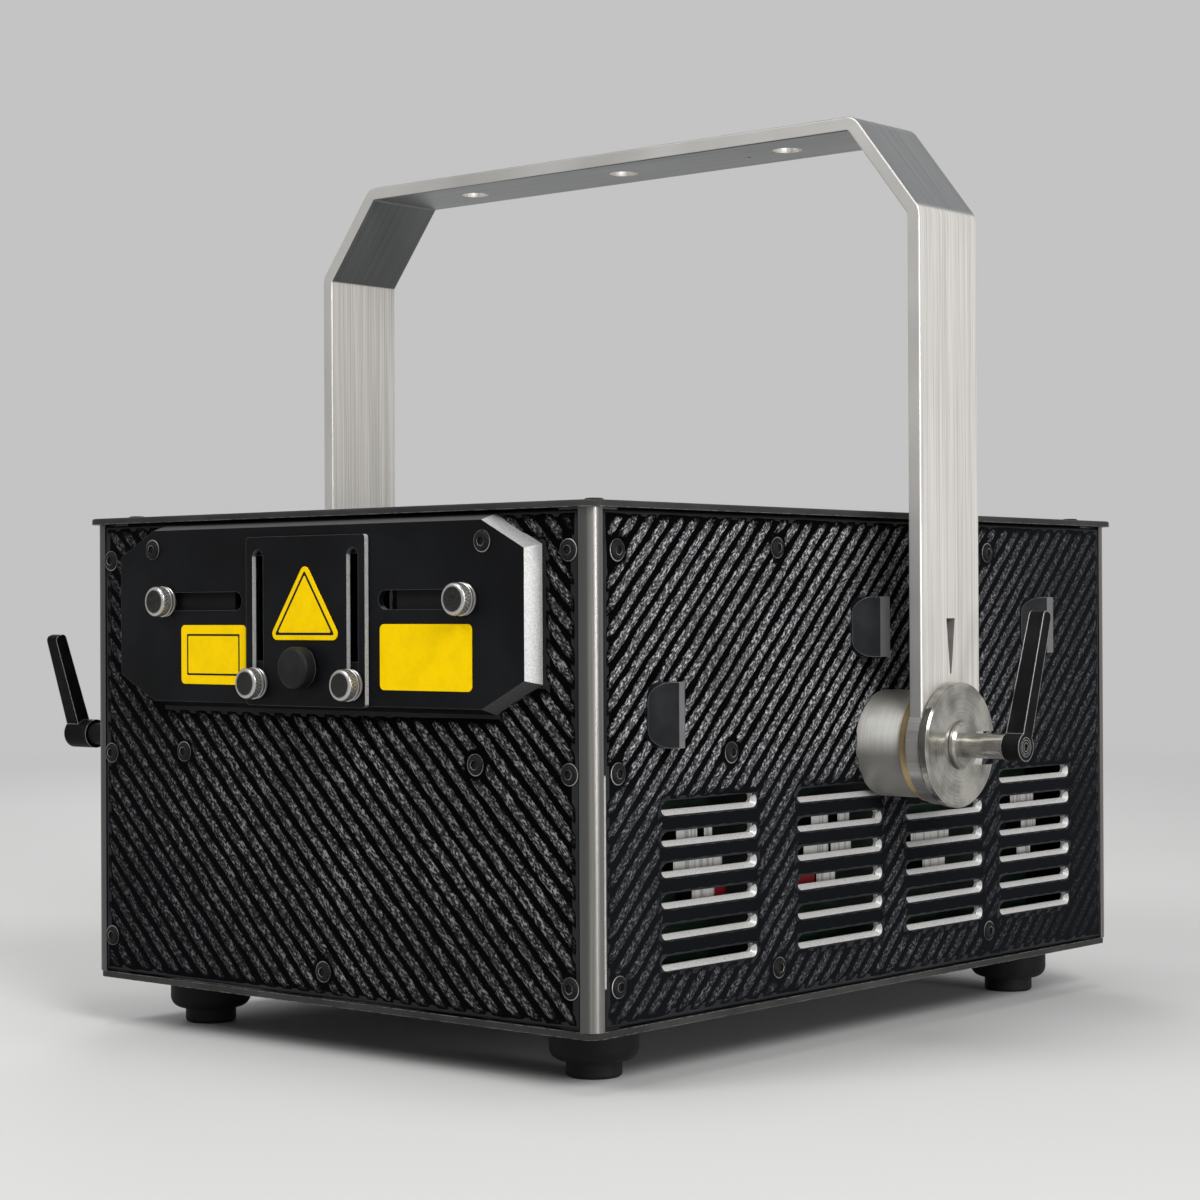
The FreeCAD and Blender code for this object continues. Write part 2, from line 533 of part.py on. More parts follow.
def build_fasteners():
    """Button-head screws on the panels, plate and lid, and the rubber feet."""
    heads = []

    def head(x, y, z, turn, angle):
        made = doc.addObject("Part::Cone", "screw")
        made.Placement = FreeCAD.Placement(V(), FreeCAD.Rotation(V(*turn), angle))
        bind(made, Radius1="screw_radius", Radius2="screw_crown_radius", Height="screw_height")
        place(made, x, y, z)
        heads.append(made)

    rows = ["foot_height + screw_low", f"foot_height + {SCREW_MID_SHARE} * body_height",
            "foot_height + body_height - screw_low"]
    vents_top = "foot_height + vent_low + vent_pitch * (vent_rows - 1) + vent_lip + vent_opening"
    for sign in ("-1", "1"):
        edge_x = f"{sign} * (body_width / 2 - screw_edge)"
        turn = 90 if sign == "1" else -90
        for z in rows:
            head(edge_x, "-" + HALF_DEPTH, z, (1, 0, 0), 90)
            head(edge_x, HALF_DEPTH, z, (1, 0, 0), -90)
            head(f"{sign} * {HALF_WIDTH}", "screw_side_edge - body_depth / 2", z, (0, 1, 0), turn)
        for share_y, share_z in SIDE_SCREW_SHARES:
            head(f"{sign} * {HALF_WIDTH}", f"{share_y} * body_depth",
                 f"foot_height + {share_z} * body_height", (0, 1, 0), turn)
        head(f"{sign} * {HALF_WIDTH}", f"{VENT_SCREW_SHARE} * body_depth",
             vents_top + " + screw_over_vents", (0, 1, 0), turn)
        head(f"{sign} * ({PLATE_HALF} - plate_cut_x)", "-" + PLATE_FACE,
             PLATE_FOOT + " + plate_screw_z", (1, 0, 0), 90)
        for front in ("-1", "1"):
            head(edge_x, f"{front} * (body_depth / 2 - screw_side_edge)", CEILING + " + lid_thickness",
                 (0, 0, 1), 0)
    for share in FRONT_SCREW_SHARES:
        head(f"{share} * body_width", "-" + HALF_DEPTH, PLATE_FOOT + " - screw_under_plate", (1, 0, 0), 90)
    head("0", "-" + HALF_DEPTH, "foot_height + screw_foot", (1, 0, 0), 90)
    group("panel_screws", heads)

    foot = Piece("foot", counted=False)
    step = "foot_height - foot_flange_height"
    foot.revolve("XZ", [polygon(
        ("0", "0"), ("foot_pad_radius", "0"), ("foot_pad_radius", step), ("foot_radius", step),
        ("foot_radius", "foot_height"), ("0", "foot_height"))], "V_Axis")
    foot.soften("Fillet", "foot_rounding", lambda edge: rim(edge, "foot_radius") and lies(edge, "z", step))
    foot.soften("Fillet", "pad_rounding", lambda edge: rim(edge, "foot_pad_radius") and lies(edge, "z", "0"))
    place(foot.body, "body_width / 2 - foot_inset_x", "foot_inset_y - body_depth / 2", "0")
    rear = mirror("foot_rear", foot.body, (0, 1, 0))
    feet = [foot.body, rear, mirror("foot_left", foot.body), mirror("foot_rear_left", rear)]
    group("rubber_feet", feet)


def build_bumpers():
    """Wedge-shaped bumpers on the sides: a slope to the front with round corners, then a flat face."""
    right = []
    for share_y, share_z, share in BUMPER_SHARES:
        bumper = Piece("bumper", counted=False)
        half = "bumper_height / 2"
        face = f"-1 * {share} * bumper_face"
        front = f"({face} - bumper_slope)"
        bumper.pad("YZ", [rectangle(front, "0", f"-1 * {half}", half)], "bumper_reach")
        bumper.soften("Fillet", "bumper_rounding", lambda edge: runs(edge, "x") and lies(edge, "y", front))
        beyond = f"({front} - overrun)"
        bumper.pocket("XY", [polygon(
            ("bumper_lip", front), ("bumper_reach", face), ("bumper_reach + overrun", face),
            ("bumper_reach + overrun", beyond), ("bumper_lip", beyond))],
            "bumper_height + overrun", both=True)
        bumper.soften("Fillet", "bumper_edge", lambda edge: runs(edge, "z") and lies(edge, "y", "0")
                      and lies(edge, "x", "bumper_reach"))
        place(bumper.body, HALF_WIDTH, f"{share_y} * body_depth", f"foot_height + {share_z} * body_height")
        right.append(bumper.body)
    group("side_bumpers_right", right)
    group("side_bumpers_left", [mirror("bumper_left", made) for made in right[1:]])


# Aperture


def build_aperture():
    """Drafted plate over the beam opening, its glass, the side masks and the shutter."""
    low = PLATE_FOOT
    high = PLATE_FOOT + " + plate_tall"
    wide = PLATE_HALF
    short = f"({PLATE_HALF} - plate_cut_x)"
    plate = Piece("aperture_plate")
    plate.pad("XZ", [polygon(
        (short, low), (wide, low + " + plate_cut_z"), (wide, high + " - plate_cut_z"), (short, high),
        ("-" + short, high), ("-" + wide, high + " - plate_cut_z"), ("-" + wide, low + " + plate_cut_z"),
        ("-" + short, low))], "plate_rise", HALF_DEPTH, taper="-1 * plate_draft")
    pocket_reach = f"({PLATE_HALF} - pocket_margin)"
    plate.pocket("XZ", [rectangle("-" + pocket_reach, pocket_reach, PLATE_FOOT + " + mask_low - sliding_gap",
                                  PLATE_FOOT + " + mask_high + sliding_gap")],
                 "plate_rise - plate_skin", HALF_DEPTH, back=True)
    level = PLATE_FOOT + " + slot_height"
    outlines = [rectangle("-1 * opening_half_width", "opening_half_width", PLATE_FOOT + " + opening_low",
                          PLATE_FOOT + " + opening_high")]
    for sign in ("-1", "1"):
        outlines.append(obround((f"{sign} * (opening_half_width + slot_gap)", level),
                                (f"{sign} * {SLOT_OUTER}", level), "slot_half"))
        outlines.append(circle(f"{sign} * shutter_slot_reach", PLATE_FOOT + " + thumb_low",
                               "thumb_shank_radius + running_fit"))
    plate.pocket("XZ", outlines, "plate_rise + overrun / 2", PLATE_FACE + " + overrun / 2")

    lap = "(opening_half_width + window_rebate + window_lap)"
    window = box("aperture_window", (f"2 * {lap}", "window_thickness",
                                     "opening_high - opening_low + window_rebate + 2 * window_lap"),
                 ("0", f"window_thickness / 2 - {REAR_INSIDE}",
                  PLATE_FOOT + " + (opening_high + opening_low) / 2"))
    node(window, "aperture_window")

    mask = Piece("mask_right")
    mask.pad("XZ", [rectangle("opening_half_width + mask_gap", PLATE_HALF + " - mask_margin",
                              PLATE_FOOT + " + mask_low", PLATE_FOOT + " + mask_high")],
             "mask_thickness", PLATE_FACE + " - plate_skin - sliding_gap - mask_thickness")
    mask.pocket("XZ", [circle(SLOT_OUTER, level, "thumb_shank_radius + running_fit")],
                "2 * plate_rise", PLATE_FACE, both=True)
    node(mirror("mask_left", mask.body), "mask_left")

    shutter = Piece("shutter_plate")
    shutter.pad("XZ", [rectangle("-1 * shutter_half_width", "shutter_half_width",
                                 PLATE_FOOT + " + shutter_low", PLATE_FOOT + " + shutter_high")],
                "shutter_thickness", SHUTTER_BACK)
    shutter.soften("Fillet", "shutter_corner", lambda edge: runs(edge, "y"))
    slots = []
    for sign in ("-1", "1"):
        across = f"{sign} * shutter_slot_reach"
        slots.append(obround((across, PLATE_FOOT + " + thumb_low"),
                             (across, PLATE_FOOT + " + thumb_low + shutter_travel"), "shutter_slot_half"))
    shutter.pocket("XZ", slots, "2 * shutter_thickness + overrun", SHUTTER_FACE, both=True)

    knob = Piece("shutter_knob")
    knob.revolve("YZ", [polygon(
        ("0", "0"), ("0", "knob_neck"), ("-1 * knob_foot", "knob_neck"), ("-1 * knob_foot", "knob_radius"),
        ("-1 * knob_height", "knob_radius"), ("-1 * knob_height", "0"))])
    knob.soften("Fillet", "knob_rounding",
                lambda edge: rim(edge, "knob_radius") and lies(edge, "y", "-1 * knob_height"))
    place(knob.body, "0", "-" + SHUTTER_FACE, PLATE_FOOT + " + knob_z")


def build_thumb_screws():
    """Turned thumb screws: the lower pair clamps the shutter, the upper pair carries the masks."""
    spots = (("lower", "shutter_slot_reach", "thumb_low", SHUTTER_FACE, "shutter_thickness + plate_rise"),
             ("upper", SLOT_OUTER, "slot_height", PLATE_FACE, "plate_skin + mask_thickness + sliding_gap"))
    for level, reach, height, seat, deep in spots:
        screw = Piece(f"thumb_screw_{level}_right")
        half = "thumb_head / 2"
        waist = "thumb_radius - thumb_groove_depth"
        rim_radius = "thumb_radius - thumb_chamfer"
        screw.revolve("YZ", [polygon(
            (deep, "0"), (deep, "thumb_shank_radius"), ("0", "thumb_shank_radius"), ("0", rim_radius),
            ("-1 * thumb_chamfer", "thumb_radius"), (f"thumb_groove / 2 - {half}", "thumb_radius"),
            (f"-1 * {half}", waist), (f"-1 * thumb_groove / 2 - {half}", "thumb_radius"),
            ("thumb_chamfer - thumb_head", "thumb_radius"), ("-1 * thumb_head", rim_radius),
            ("-1 * thumb_head", "thumb_dish_radius"), ("thumb_dish - thumb_head", "thumb_dish_radius"),
            ("thumb_dish - thumb_head", "0"))])
        place(screw.body, reach, f"-1 * ({seat} + sliding_gap)", f"{PLATE_FOOT} + {height}")
        node(mirror(f"thumb_screw_{level}_left", screw.body), f"thumb_screw_{level}_left")


# Yoke and its clamps


def build_yoke():
    """Flat bar bent over the housing, with an eye at the end of each arm."""
    rise = "(bar_top - bar_bend)"
    run = f"({BAR_OUTSIDE} - bar_top_half)"
    low_miter = f"bar_thickness * tan(atan({run} / {rise}) / 2)"
    high_miter = f"bar_thickness * tan(atan({rise} / {run}) / 2)"
    bend = "(foot_height + bar_bend)"
    top = "(foot_height + bar_top)"
    outer = [(BAR_OUTSIDE, PIVOT_Z), (BAR_OUTSIDE, bend), ("bar_top_half", top)]
    inner = [(BAR_INSIDE, PIVOT_Z), (BAR_INSIDE, f"{bend} - {low_miter}"),
             (f"bar_top_half - {high_miter}", f"{top} - bar_thickness")]

    def other(corners):
        return [(f"-1 * ({u})", v) for u, v in reversed(corners)]

    yoke = Piece("yoke")
    yoke.pad("XZ", [polygon(*outer, *other(outer), *reversed(other(inner)), *reversed(inner))], "bar_width",
             "-1 * pivot_y", both=True)

    def at_bend(corners):
        spots = [V(value(u), 0, value(v)) for u, v in corners[1:] + other(corners)[:-1]]
        return lambda edge: runs(edge, "y") and any(
            near(edge.Vertexes[0].X, spot.x) and near(edge.Vertexes[0].Z, spot.z) for spot in spots)

    yoke.soften("Fillet", "bend_radius + bar_thickness", at_bend(outer))
    yoke.soften("Fillet", "bend_radius", at_bend(inner))
    faces = ("pivot_y - bar_width / 2", "pivot_y + bar_width / 2")
    yoke.soften("Fillet", "bar_edge_radius", lambda edge: any(lies(edge, "y", face) for face in faces)
                and not lies(edge, "z", PIVOT_Z))
    for start in (BAR_INSIDE, "-1 * " + BAR_OUTSIDE):
        yoke.pad("YZ", [circle("pivot_y", PIVOT_Z, "eye_radius")], "bar_thickness", start)
    across = f"2 * {BAR_OUTSIDE} + overrun"
    yoke.pocket("YZ", [circle("pivot_y", PIVOT_Z, "spigot_radius + running_fit")], across, both=True)
    high = "foot_height + sight_high"
    low = "foot_height + sight_low"
    yoke.pocket("YZ", [polygon(
        ("pivot_y - sight_half", high), ("pivot_y - sight_tip", low), ("pivot_y + sight_tip", low),
        ("pivot_y + sight_half", high))], across, both=True)
    holes = [circle(f"{side} * hang_hole_reach", "pivot_y", "hang_hole_radius") for side in ("-1", "0", "1")]
    holes.append(circle("pin_hole_x", "pin_hole_y", "pin_hole_radius"))
    yoke.pocket("XY", holes, "bar_thickness + overrun", f"{top} + overrun / 2")


def build_lever(name, start, length, radius, reach, counted=True):
    """A clamp lever about the X axis: round hub, tapered arm with a round tip, socket screw in the hub."""
    lever = Piece(name, counted)
    end = f"({start} + {length})"
    lever.pad("YZ", [circle("0", "0", radius)], length, start)
    root = lever.sketch("XY", [rectangle(f"{end} - lever_root_depth", end, "-1 * lever_root", "lever_root")])
    tip = lever.sketch("XY", [rectangle(f"{end} - lever_tip_depth", end, "-1 * lever_tip", "lever_tip")],
                       reach)
    arm = lever.body.newObject("PartDesign::AdditiveLoft", "arm")
    arm.Profile = root
    arm.Sections = [tip]
    doc.recompute()
    lever.soften("Fillet", "lever_rounding", lambda edge: runs(edge, "x") and lies(edge, "z", reach))
    lever.pocket("YZ", [circle("0", "0", "socket_radius"), circle("0", "0", "socket_screw")],
                 "socket_depth", end)
    hexagon = [(f"socket_hex * cos({60 * i} deg)", f"socket_hex * sin({60 * i} deg)") for i in range(6)]
    lever.pocket("YZ", [polygon(*hexagon)], "socket_depth", end)
    return lever.body


def build_pivots():
    """Boss, bronze ring, slotted clamp disc, shaft and lever on each side."""
    boss = Piece("pivot_boss_right")
    bore = "shaft_radius + running_fit"
    boss.revolve("XY", [polygon(
        ("0", bore), ("0", "boss_radius"), ("boss_length - boss_chamfer", "boss_radius"),
        ("boss_length", "boss_radius - boss_chamfer"), ("boss_length", "spigot_radius"),
        (SPIGOT_END, "spigot_radius"), (SPIGOT_END, bore))])

    ring = Piece("friction_ring_right")
    ring.revolve("XY", [rectangle("boss_length", "boss_length + ring_thickness",
                                  "spigot_radius + running_fit", "ring_radius")])

    disc = Piece("clamp_disc_right")
    disc.pad("YZ", [circle("0", "0", "disc_radius")], "disc_thickness", SPIGOT_END)
    disc.soften("Chamfer", "disc_chamfer", lambda edge: edge.Curve.TypeId == "Part::GeomCircle")
    through = ("disc_thickness + overrun", DISC_FACE + " + overrun / 2")
    disc.pocket("YZ", [circle("0", "0", "shaft_radius + sliding_gap")], *through)
    disc.pocket("YZ", [rectangle("0", "disc_radius + overrun", "-1 * disc_slot_under", "disc_slot_over")],
                *through)

    shaft = Piece("clamp_shaft_right")
    collar = "(" + DISC_FACE + " + sliding_gap)"
    collar_end = "(" + collar + " + collar_thickness)"
    inner_end = SPIGOT_END + " - shaft_depth"
    shaft.revolve("XY", [polygon(
        (inner_end, "0"), (inner_end, "shaft_radius"), (collar, "shaft_radius"), (collar, "collar_radius"),
        (collar_end + " - collar_chamfer", "collar_radius"), (collar_end, "collar_radius - collar_chamfer"),
        (collar_end, "shaft_radius"), ("hub_start", "shaft_radius"), ("hub_start", "0"))])

    lever = build_lever("clamp_lever_right", "hub_start", "hub_length", "hub_radius", "lever_reach")
    turn_about_x(lever, "-1 * lever_tilt")
    for made in (boss.body, ring.body, disc.body, shaft.body, lever):
        place(made, HALF_WIDTH, "pivot_y", PIVOT_Z)
        name = made.Label.replace("right", "left")
        node(mirror(name, made), name)


def build_beam_stop():
    """Manual beam stop: lever on the left, cross shaft with a flag behind the window, inner bracket."""
    axis_z = "foot_height + stop_height"
    lever = build_lever("stop_lever_blank", "stop_hub_start", "stop_hub_length", "stop_hub_radius",
                        "stop_lever_reach", counted=False)
    turn_about_x(lever, "stop_tilt")
    place(lever, HALF_WIDTH, STOP_Y, axis_z)
    node(mirror("beam_stop_lever_hand", lever), "beam_stop_lever")

    left = "(body_width / 2 + stop_hub_start)"
    right = "(stop_bracket_x + stop_bracket_thickness / 2)"
    shaft = rod("stop_shaft", "stop_shaft_radius", f"{left} + {right}",
                (f"({right} - {left}) / 2", STOP_Y, axis_z), "X")
    reach = f"({EXIT_Z} + flag_over - ({axis_z}))"
    plate = box("flag", ("2 * flag_half_width", "flag_thickness", reach),
                ("0", STOP_Y, f"{axis_z} + {reach} / 2"))
    node(joined("stop_flag", [shaft, plate]), "beam_stop_flag")

    tall = "(stop_height + stop_bracket_width / 2 - base_thickness)"
    stand = box("stop_stand", ("stop_bracket_thickness", "stop_bracket_width", tall),
                ("stop_bracket_x + stop_bracket_thickness / 2", STOP_Y, f"{FLOOR} + {tall} / 2"))
    bore = rod("stop_bore", "stop_shaft_radius + running_fit", "stop_bracket_thickness + overrun",
               ("stop_bracket_x + stop_bracket_thickness / 2", STOP_Y, axis_z), "X")
    node(cut("stop_bracket", stand, [bore]), "beam_stop_bracket")


# Optics


def build_optics():
    """Bench, laser modules, combining mirrors and the two-mirror scanner."""
    slab = box("bench_slab", (f"2 * {BENCH_HALF}", f"{BENCH_REAR} - {BENCH_FRONT}", "bench_thickness"),
               ("0", f"({BENCH_FRONT} + {BENCH_REAR}) / 2", f"{BENCH_TOP} - bench_thickness / 2"))
    tall = f"({BENCH_UNDER} - {FLOOR} + bench_thickness / 2)"
    legs = []
    for x in ("-1", "1"):
        for y in (BENCH_FRONT + " + leg_inset", BENCH_REAR + " - leg_inset"):
            legs.append(rod("bench_leg", "leg_radius", tall,
                            (f"{x} * ({BENCH_HALF} - leg_inset)", y, f"{FLOOR} + {tall} / 2"), "Z"))
    node(joined("bench", [slab] + legs), "optical_bench")

    sink = Piece("heat_sink")
    deep = f"({FIN_SHARE} * body_height)"
    right = f"({HALF_WIDTH} - panel_thickness - board_gap - board_thickness - cap_height - sink_clear)"
    ends = ("-1 * sink_length / 2", "sink_length / 2")
    sink.pad("XY", [rectangle("supply_gap", right, *ends)], "sink_plate", f"{BENCH_UNDER} - sink_plate")
    fin = sink.pad("XY", [rectangle("supply_gap", "supply_gap + fin_thickness", *ends)],
                   f"{deep} + sink_plate / 2", f"{BENCH_UNDER} - sink_plate - {deep}")
    sink.repeat([fin], "X", f"{right} - supply_gap - fin_thickness", "fin_count")

    beam = BEAM_Z
    mirrors = []
    wide = f"{MODULE_WIDTH_SHARE} * body_width"
    long = f"{MODULE_LENGTH_SHARE} * body_depth"
    for share, colour in zip(MODULE_SHARES, ("red", "green", "blue")):
        x = f"({share} * body_width)"
        case = box("module_case", (wide, long, "module_height"),
                   (x, f"{BEAM_Y} + module_gap + {long} / 2", f"{BENCH_TOP} + module_height / 2"))
        port = rod("module_port", "module_port", "module_port", (x, BEAM_Y + " + module_gap", beam), "Y")
        node(joined("module", [case, port]), f"laser_module_{colour}")
        post = rod("mirror_post", "mirror_post", f"{beam} - {BENCH_TOP}",
                   (x, BEAM_Y, f"({beam} + {BENCH_TOP}) / 2"), "Z")
        glass = doc.addObject("Part::Box", "mirror_glass")
        bind(glass, Length="mirror_size", Width="mirror_thickness", Height="mirror_size")
        glass.Placement = FreeCAD.Placement(V(), FreeCAD.Rotation(V(0, 0, 1), 45))
        across = "(mirror_size - mirror_thickness) / 2 * cos(45 deg)"
        up = "(mirror_size + mirror_thickness) / 2 * cos(45 deg)"
        place(glass, f"{x} - {across}", f"{BEAM_Y} - {up}", f"{beam} - mirror_size / 2")
        mirrors.append(joined("mirror", [post, glass]))
    group("combining_mirrors", mirrors)

    wall = "(motor_radius + motor_wall)"
    lower = ("0", BEAM_Y + " + galvo_length / 2 + motor_clear + motor_length / 2", beam)
    upper = ("-1 * (galvo_wide_length / 2 + motor_clear + motor_length / 2)", BEAM_Y, EXIT_Z)
    low_block = box("scanner_low", (f"2 * {wall}", "motor_length", f"{beam} + {wall} - {BENCH_TOP}"),
                    (*lower[:2], f"({beam} + {wall} + {BENCH_TOP}) / 2"))
    high_block = box("scanner_high", ("motor_length", f"2 * {wall}", f"{EXIT_Z} + {wall} - {BENCH_TOP}"),
                     (*upper[:2], f"({EXIT_Z} + {wall} + {BENCH_TOP}) / 2"))
    tools = [rod("motor_bore", "motor_radius + running_fit", "motor_length + overrun", centre, axis)
             for centre, axis in ((lower, "Y"), (upper, "X"))]
    node(cut("scanner", joined("scanner_blocks", [low_block, high_block]), tools), "scanner_block")

    motors = []
    thick = "(galvo_thickness - galvo_width) / 2 * cos(45 deg)"
    tall = "(galvo_thickness + galvo_width) / 2 * cos(45 deg)"
    drives = (("x", lower, "Y", "galvo_length"), ("y", upper, "X", "galvo_wide_length"))
    for letter, centre, axis, long in drives:
        can = rod("motor_can", "motor_radius", "motor_length", centre, axis)
        hole = rod("motor_hole", "motor_shaft + running_fit", "motor_length + overrun", centre, axis)
        motors.append(cut("motor_" + letter, can, [hole]))
        start = f"({long} / 2 - motor_shaft)"
        reach = f"({long} / 2 + motor_clear + motor_length / 2)"
        middle = f"({reach} + {start}) / 2"
        plate = doc.addObject("Part::Box", "galvo_plate")
        if axis == "Y":
            pin_centre = ("0", f"{BEAM_Y} + {middle}", beam)
            plate.Placement = FreeCAD.Placement(V(), FreeCAD.Rotation(V(0, 1, 0), -45))
            bind(plate, Length="galvo_thickness", Width=long, Height="galvo_width")
            place(plate, f"-1 * {thick}", f"{BEAM_Y} - {long} / 2", f"{beam} - {tall}")
        else:
            pin_centre = (f"-1 * {middle}", BEAM_Y, EXIT_Z)
            plate.Placement = FreeCAD.Placement(V(), FreeCAD.Rotation(V(1, 0, 0), 45))
            bind(plate, Length=long, Width="galvo_thickness", Height="galvo_width")
            place(plate, f"-1 * {long} / 2", f"{BEAM_Y} - {thick}", f"{EXIT_Z} - {tall}")
        shaft = rod("galvo_shaft", "motor_shaft", f"{reach} - {start}", pin_centre, axis)
        node(joined("galvo_" + letter, [shaft, plate]), "galvo_mirror_" + letter)
    group("scanner_motors", motors)


# Electronics


def build_electronics():
    """Power supply, upright driver board with its plugs, and two rear fans."""
    outer = f"({BENCH_HALF} - leg_inset - leg_radius - leg_clear)"
    wide = f"({outer} - supply_gap)"
    long = f"({SUPPLY_LENGTH_SHARE} * body_depth)"
    x = f"-1 * ({outer} + supply_gap) / 2"
    rear = f"({HALF_DEPTH} - supply_rear)"
    case = box("supply_case", (wide, long, "supply_height"),
               (x, f"{rear} - {long} / 2", f"{FLOOR} + supply_height / 2"))
    strip = box("supply_strip", (f"{wide} - 2 * terminal_length", "2 * terminal_length", "terminal_height"),
                (x, f"{rear} - {long}", f"{FLOOR} + terminal_height / 2"))
    node(joined("supply", [case, strip]), "power_supply")

    x = f"({HALF_WIDTH} - panel_thickness - board_gap)"
    long = f"({BOARD_LENGTH_SHARE} * body_depth)"
    low = f"({FLOOR} + board_lift)"
    tall = f"({BENCH_UNDER} - board_clear - {low})"
    middle = f"({low} + {tall} / 2)"
    pieces = [box("board", ("board_thickness", long, tall), (x, "0", middle))]
    for share in BOARD_FOOT_SHARES:
        pieces.append(box("board_foot", ("board_foot", "board_foot_length", "2 * board_lift"),
                          (x, f"{share} * {long}", f"{FLOOR} + board_lift")))
    centre = f"({BENCH_FRONT} + {BENCH_REAR}) / 2"
    span = f"({BENCH_REAR} - {BENCH_FRONT} - 2 * leg_inset)"
    for share_y, share_z in CAP_SHARES:
        pieces.append(rod("capacitor", "cap_radius", "cap_height", (
            f"{x} - cap_height / 2", f"{centre} + {share_y} * {span}",
            f"{middle} + {share_z} * {tall}"), "X"))
    for share_y, share_z in CHIP_SHARES:
        pieces.append(box("chip_sink", ("chip_depth", "chip_length", "chip_tall"), (
            f"{x} - chip_depth / 2", f"{centre} + {share_y} * {span}", f"{middle} + {share_z} * {tall}")))
    for share_y, share_z, share_long in PLUG_SHARES:
        pieces.append(box("plug", ("plug_depth", f"{share_long} * {long}", "plug_tall"), (
            f"{x} + plug_depth / 2", f"{share_y} * {long}", f"{middle} + {share_z} * {tall}")))
    node(joined("driver", pieces), "driver_board")

    for side, sign in (("right", "1"), ("left", "-1")):
        x = f"{sign} * rear_vent_reach"
        frame = Piece(f"fan_frame_{side}")
        half = "fan_size / 2"
        frame.pad("XZ", [rectangle(f"-{half}", half, f"-{half}", half), circle("0", "0", "fan_bore")],
                  "fan_depth")
        web = frame.pad("XZ", [rectangle("-1 * fan_spider / 2", "fan_spider / 2", "0",
                                         "fan_bore + fan_blade")], "fan_spider")
        frame.spin([web], "Y", "fan_webs")
        frame.pad("XZ", [circle("0", "0", "fan_hub")], "fan_spider")
        frame.pad("XZ", [circle("0", "0", "fan_pin")], "fan_depth - 2 * fan_spider")
        place(frame.body, x, REAR_INSIDE, FAN_Z)

        rotor = Piece(f"fan_rotor_{side}")
        start = "fan_spider + fan_blade_gap"
        rotor.pad("XZ", [circle("0", "0", "fan_hub")], "fan_blade_rise", start)
        tip = "(fan_bore - 3 * fan_blade_gap)"
        lean = "fan_blade_lean"
        low = f"-1 * ({start})"
        high = f"-1 * ({start} + fan_blade_rise)"
        blade = rotor.pad("YZ", [polygon(
            (low, f"-1 * {lean}"), (low, f"fan_blade - {lean}"), (high, f"fan_blade + {lean}"),
            (high, lean))], f"{tip} - fan_hub / 2", "fan_hub / 2")
        rotor.spin([blade], "Y", "fan_count")
        rotor.pocket("XZ", [circle("0", "0", "fan_pin + running_fit")], "2 * fan_depth", both=True)
        place(rotor.body, x, REAR_INSIDE, FAN_Z)


# Rear fittings


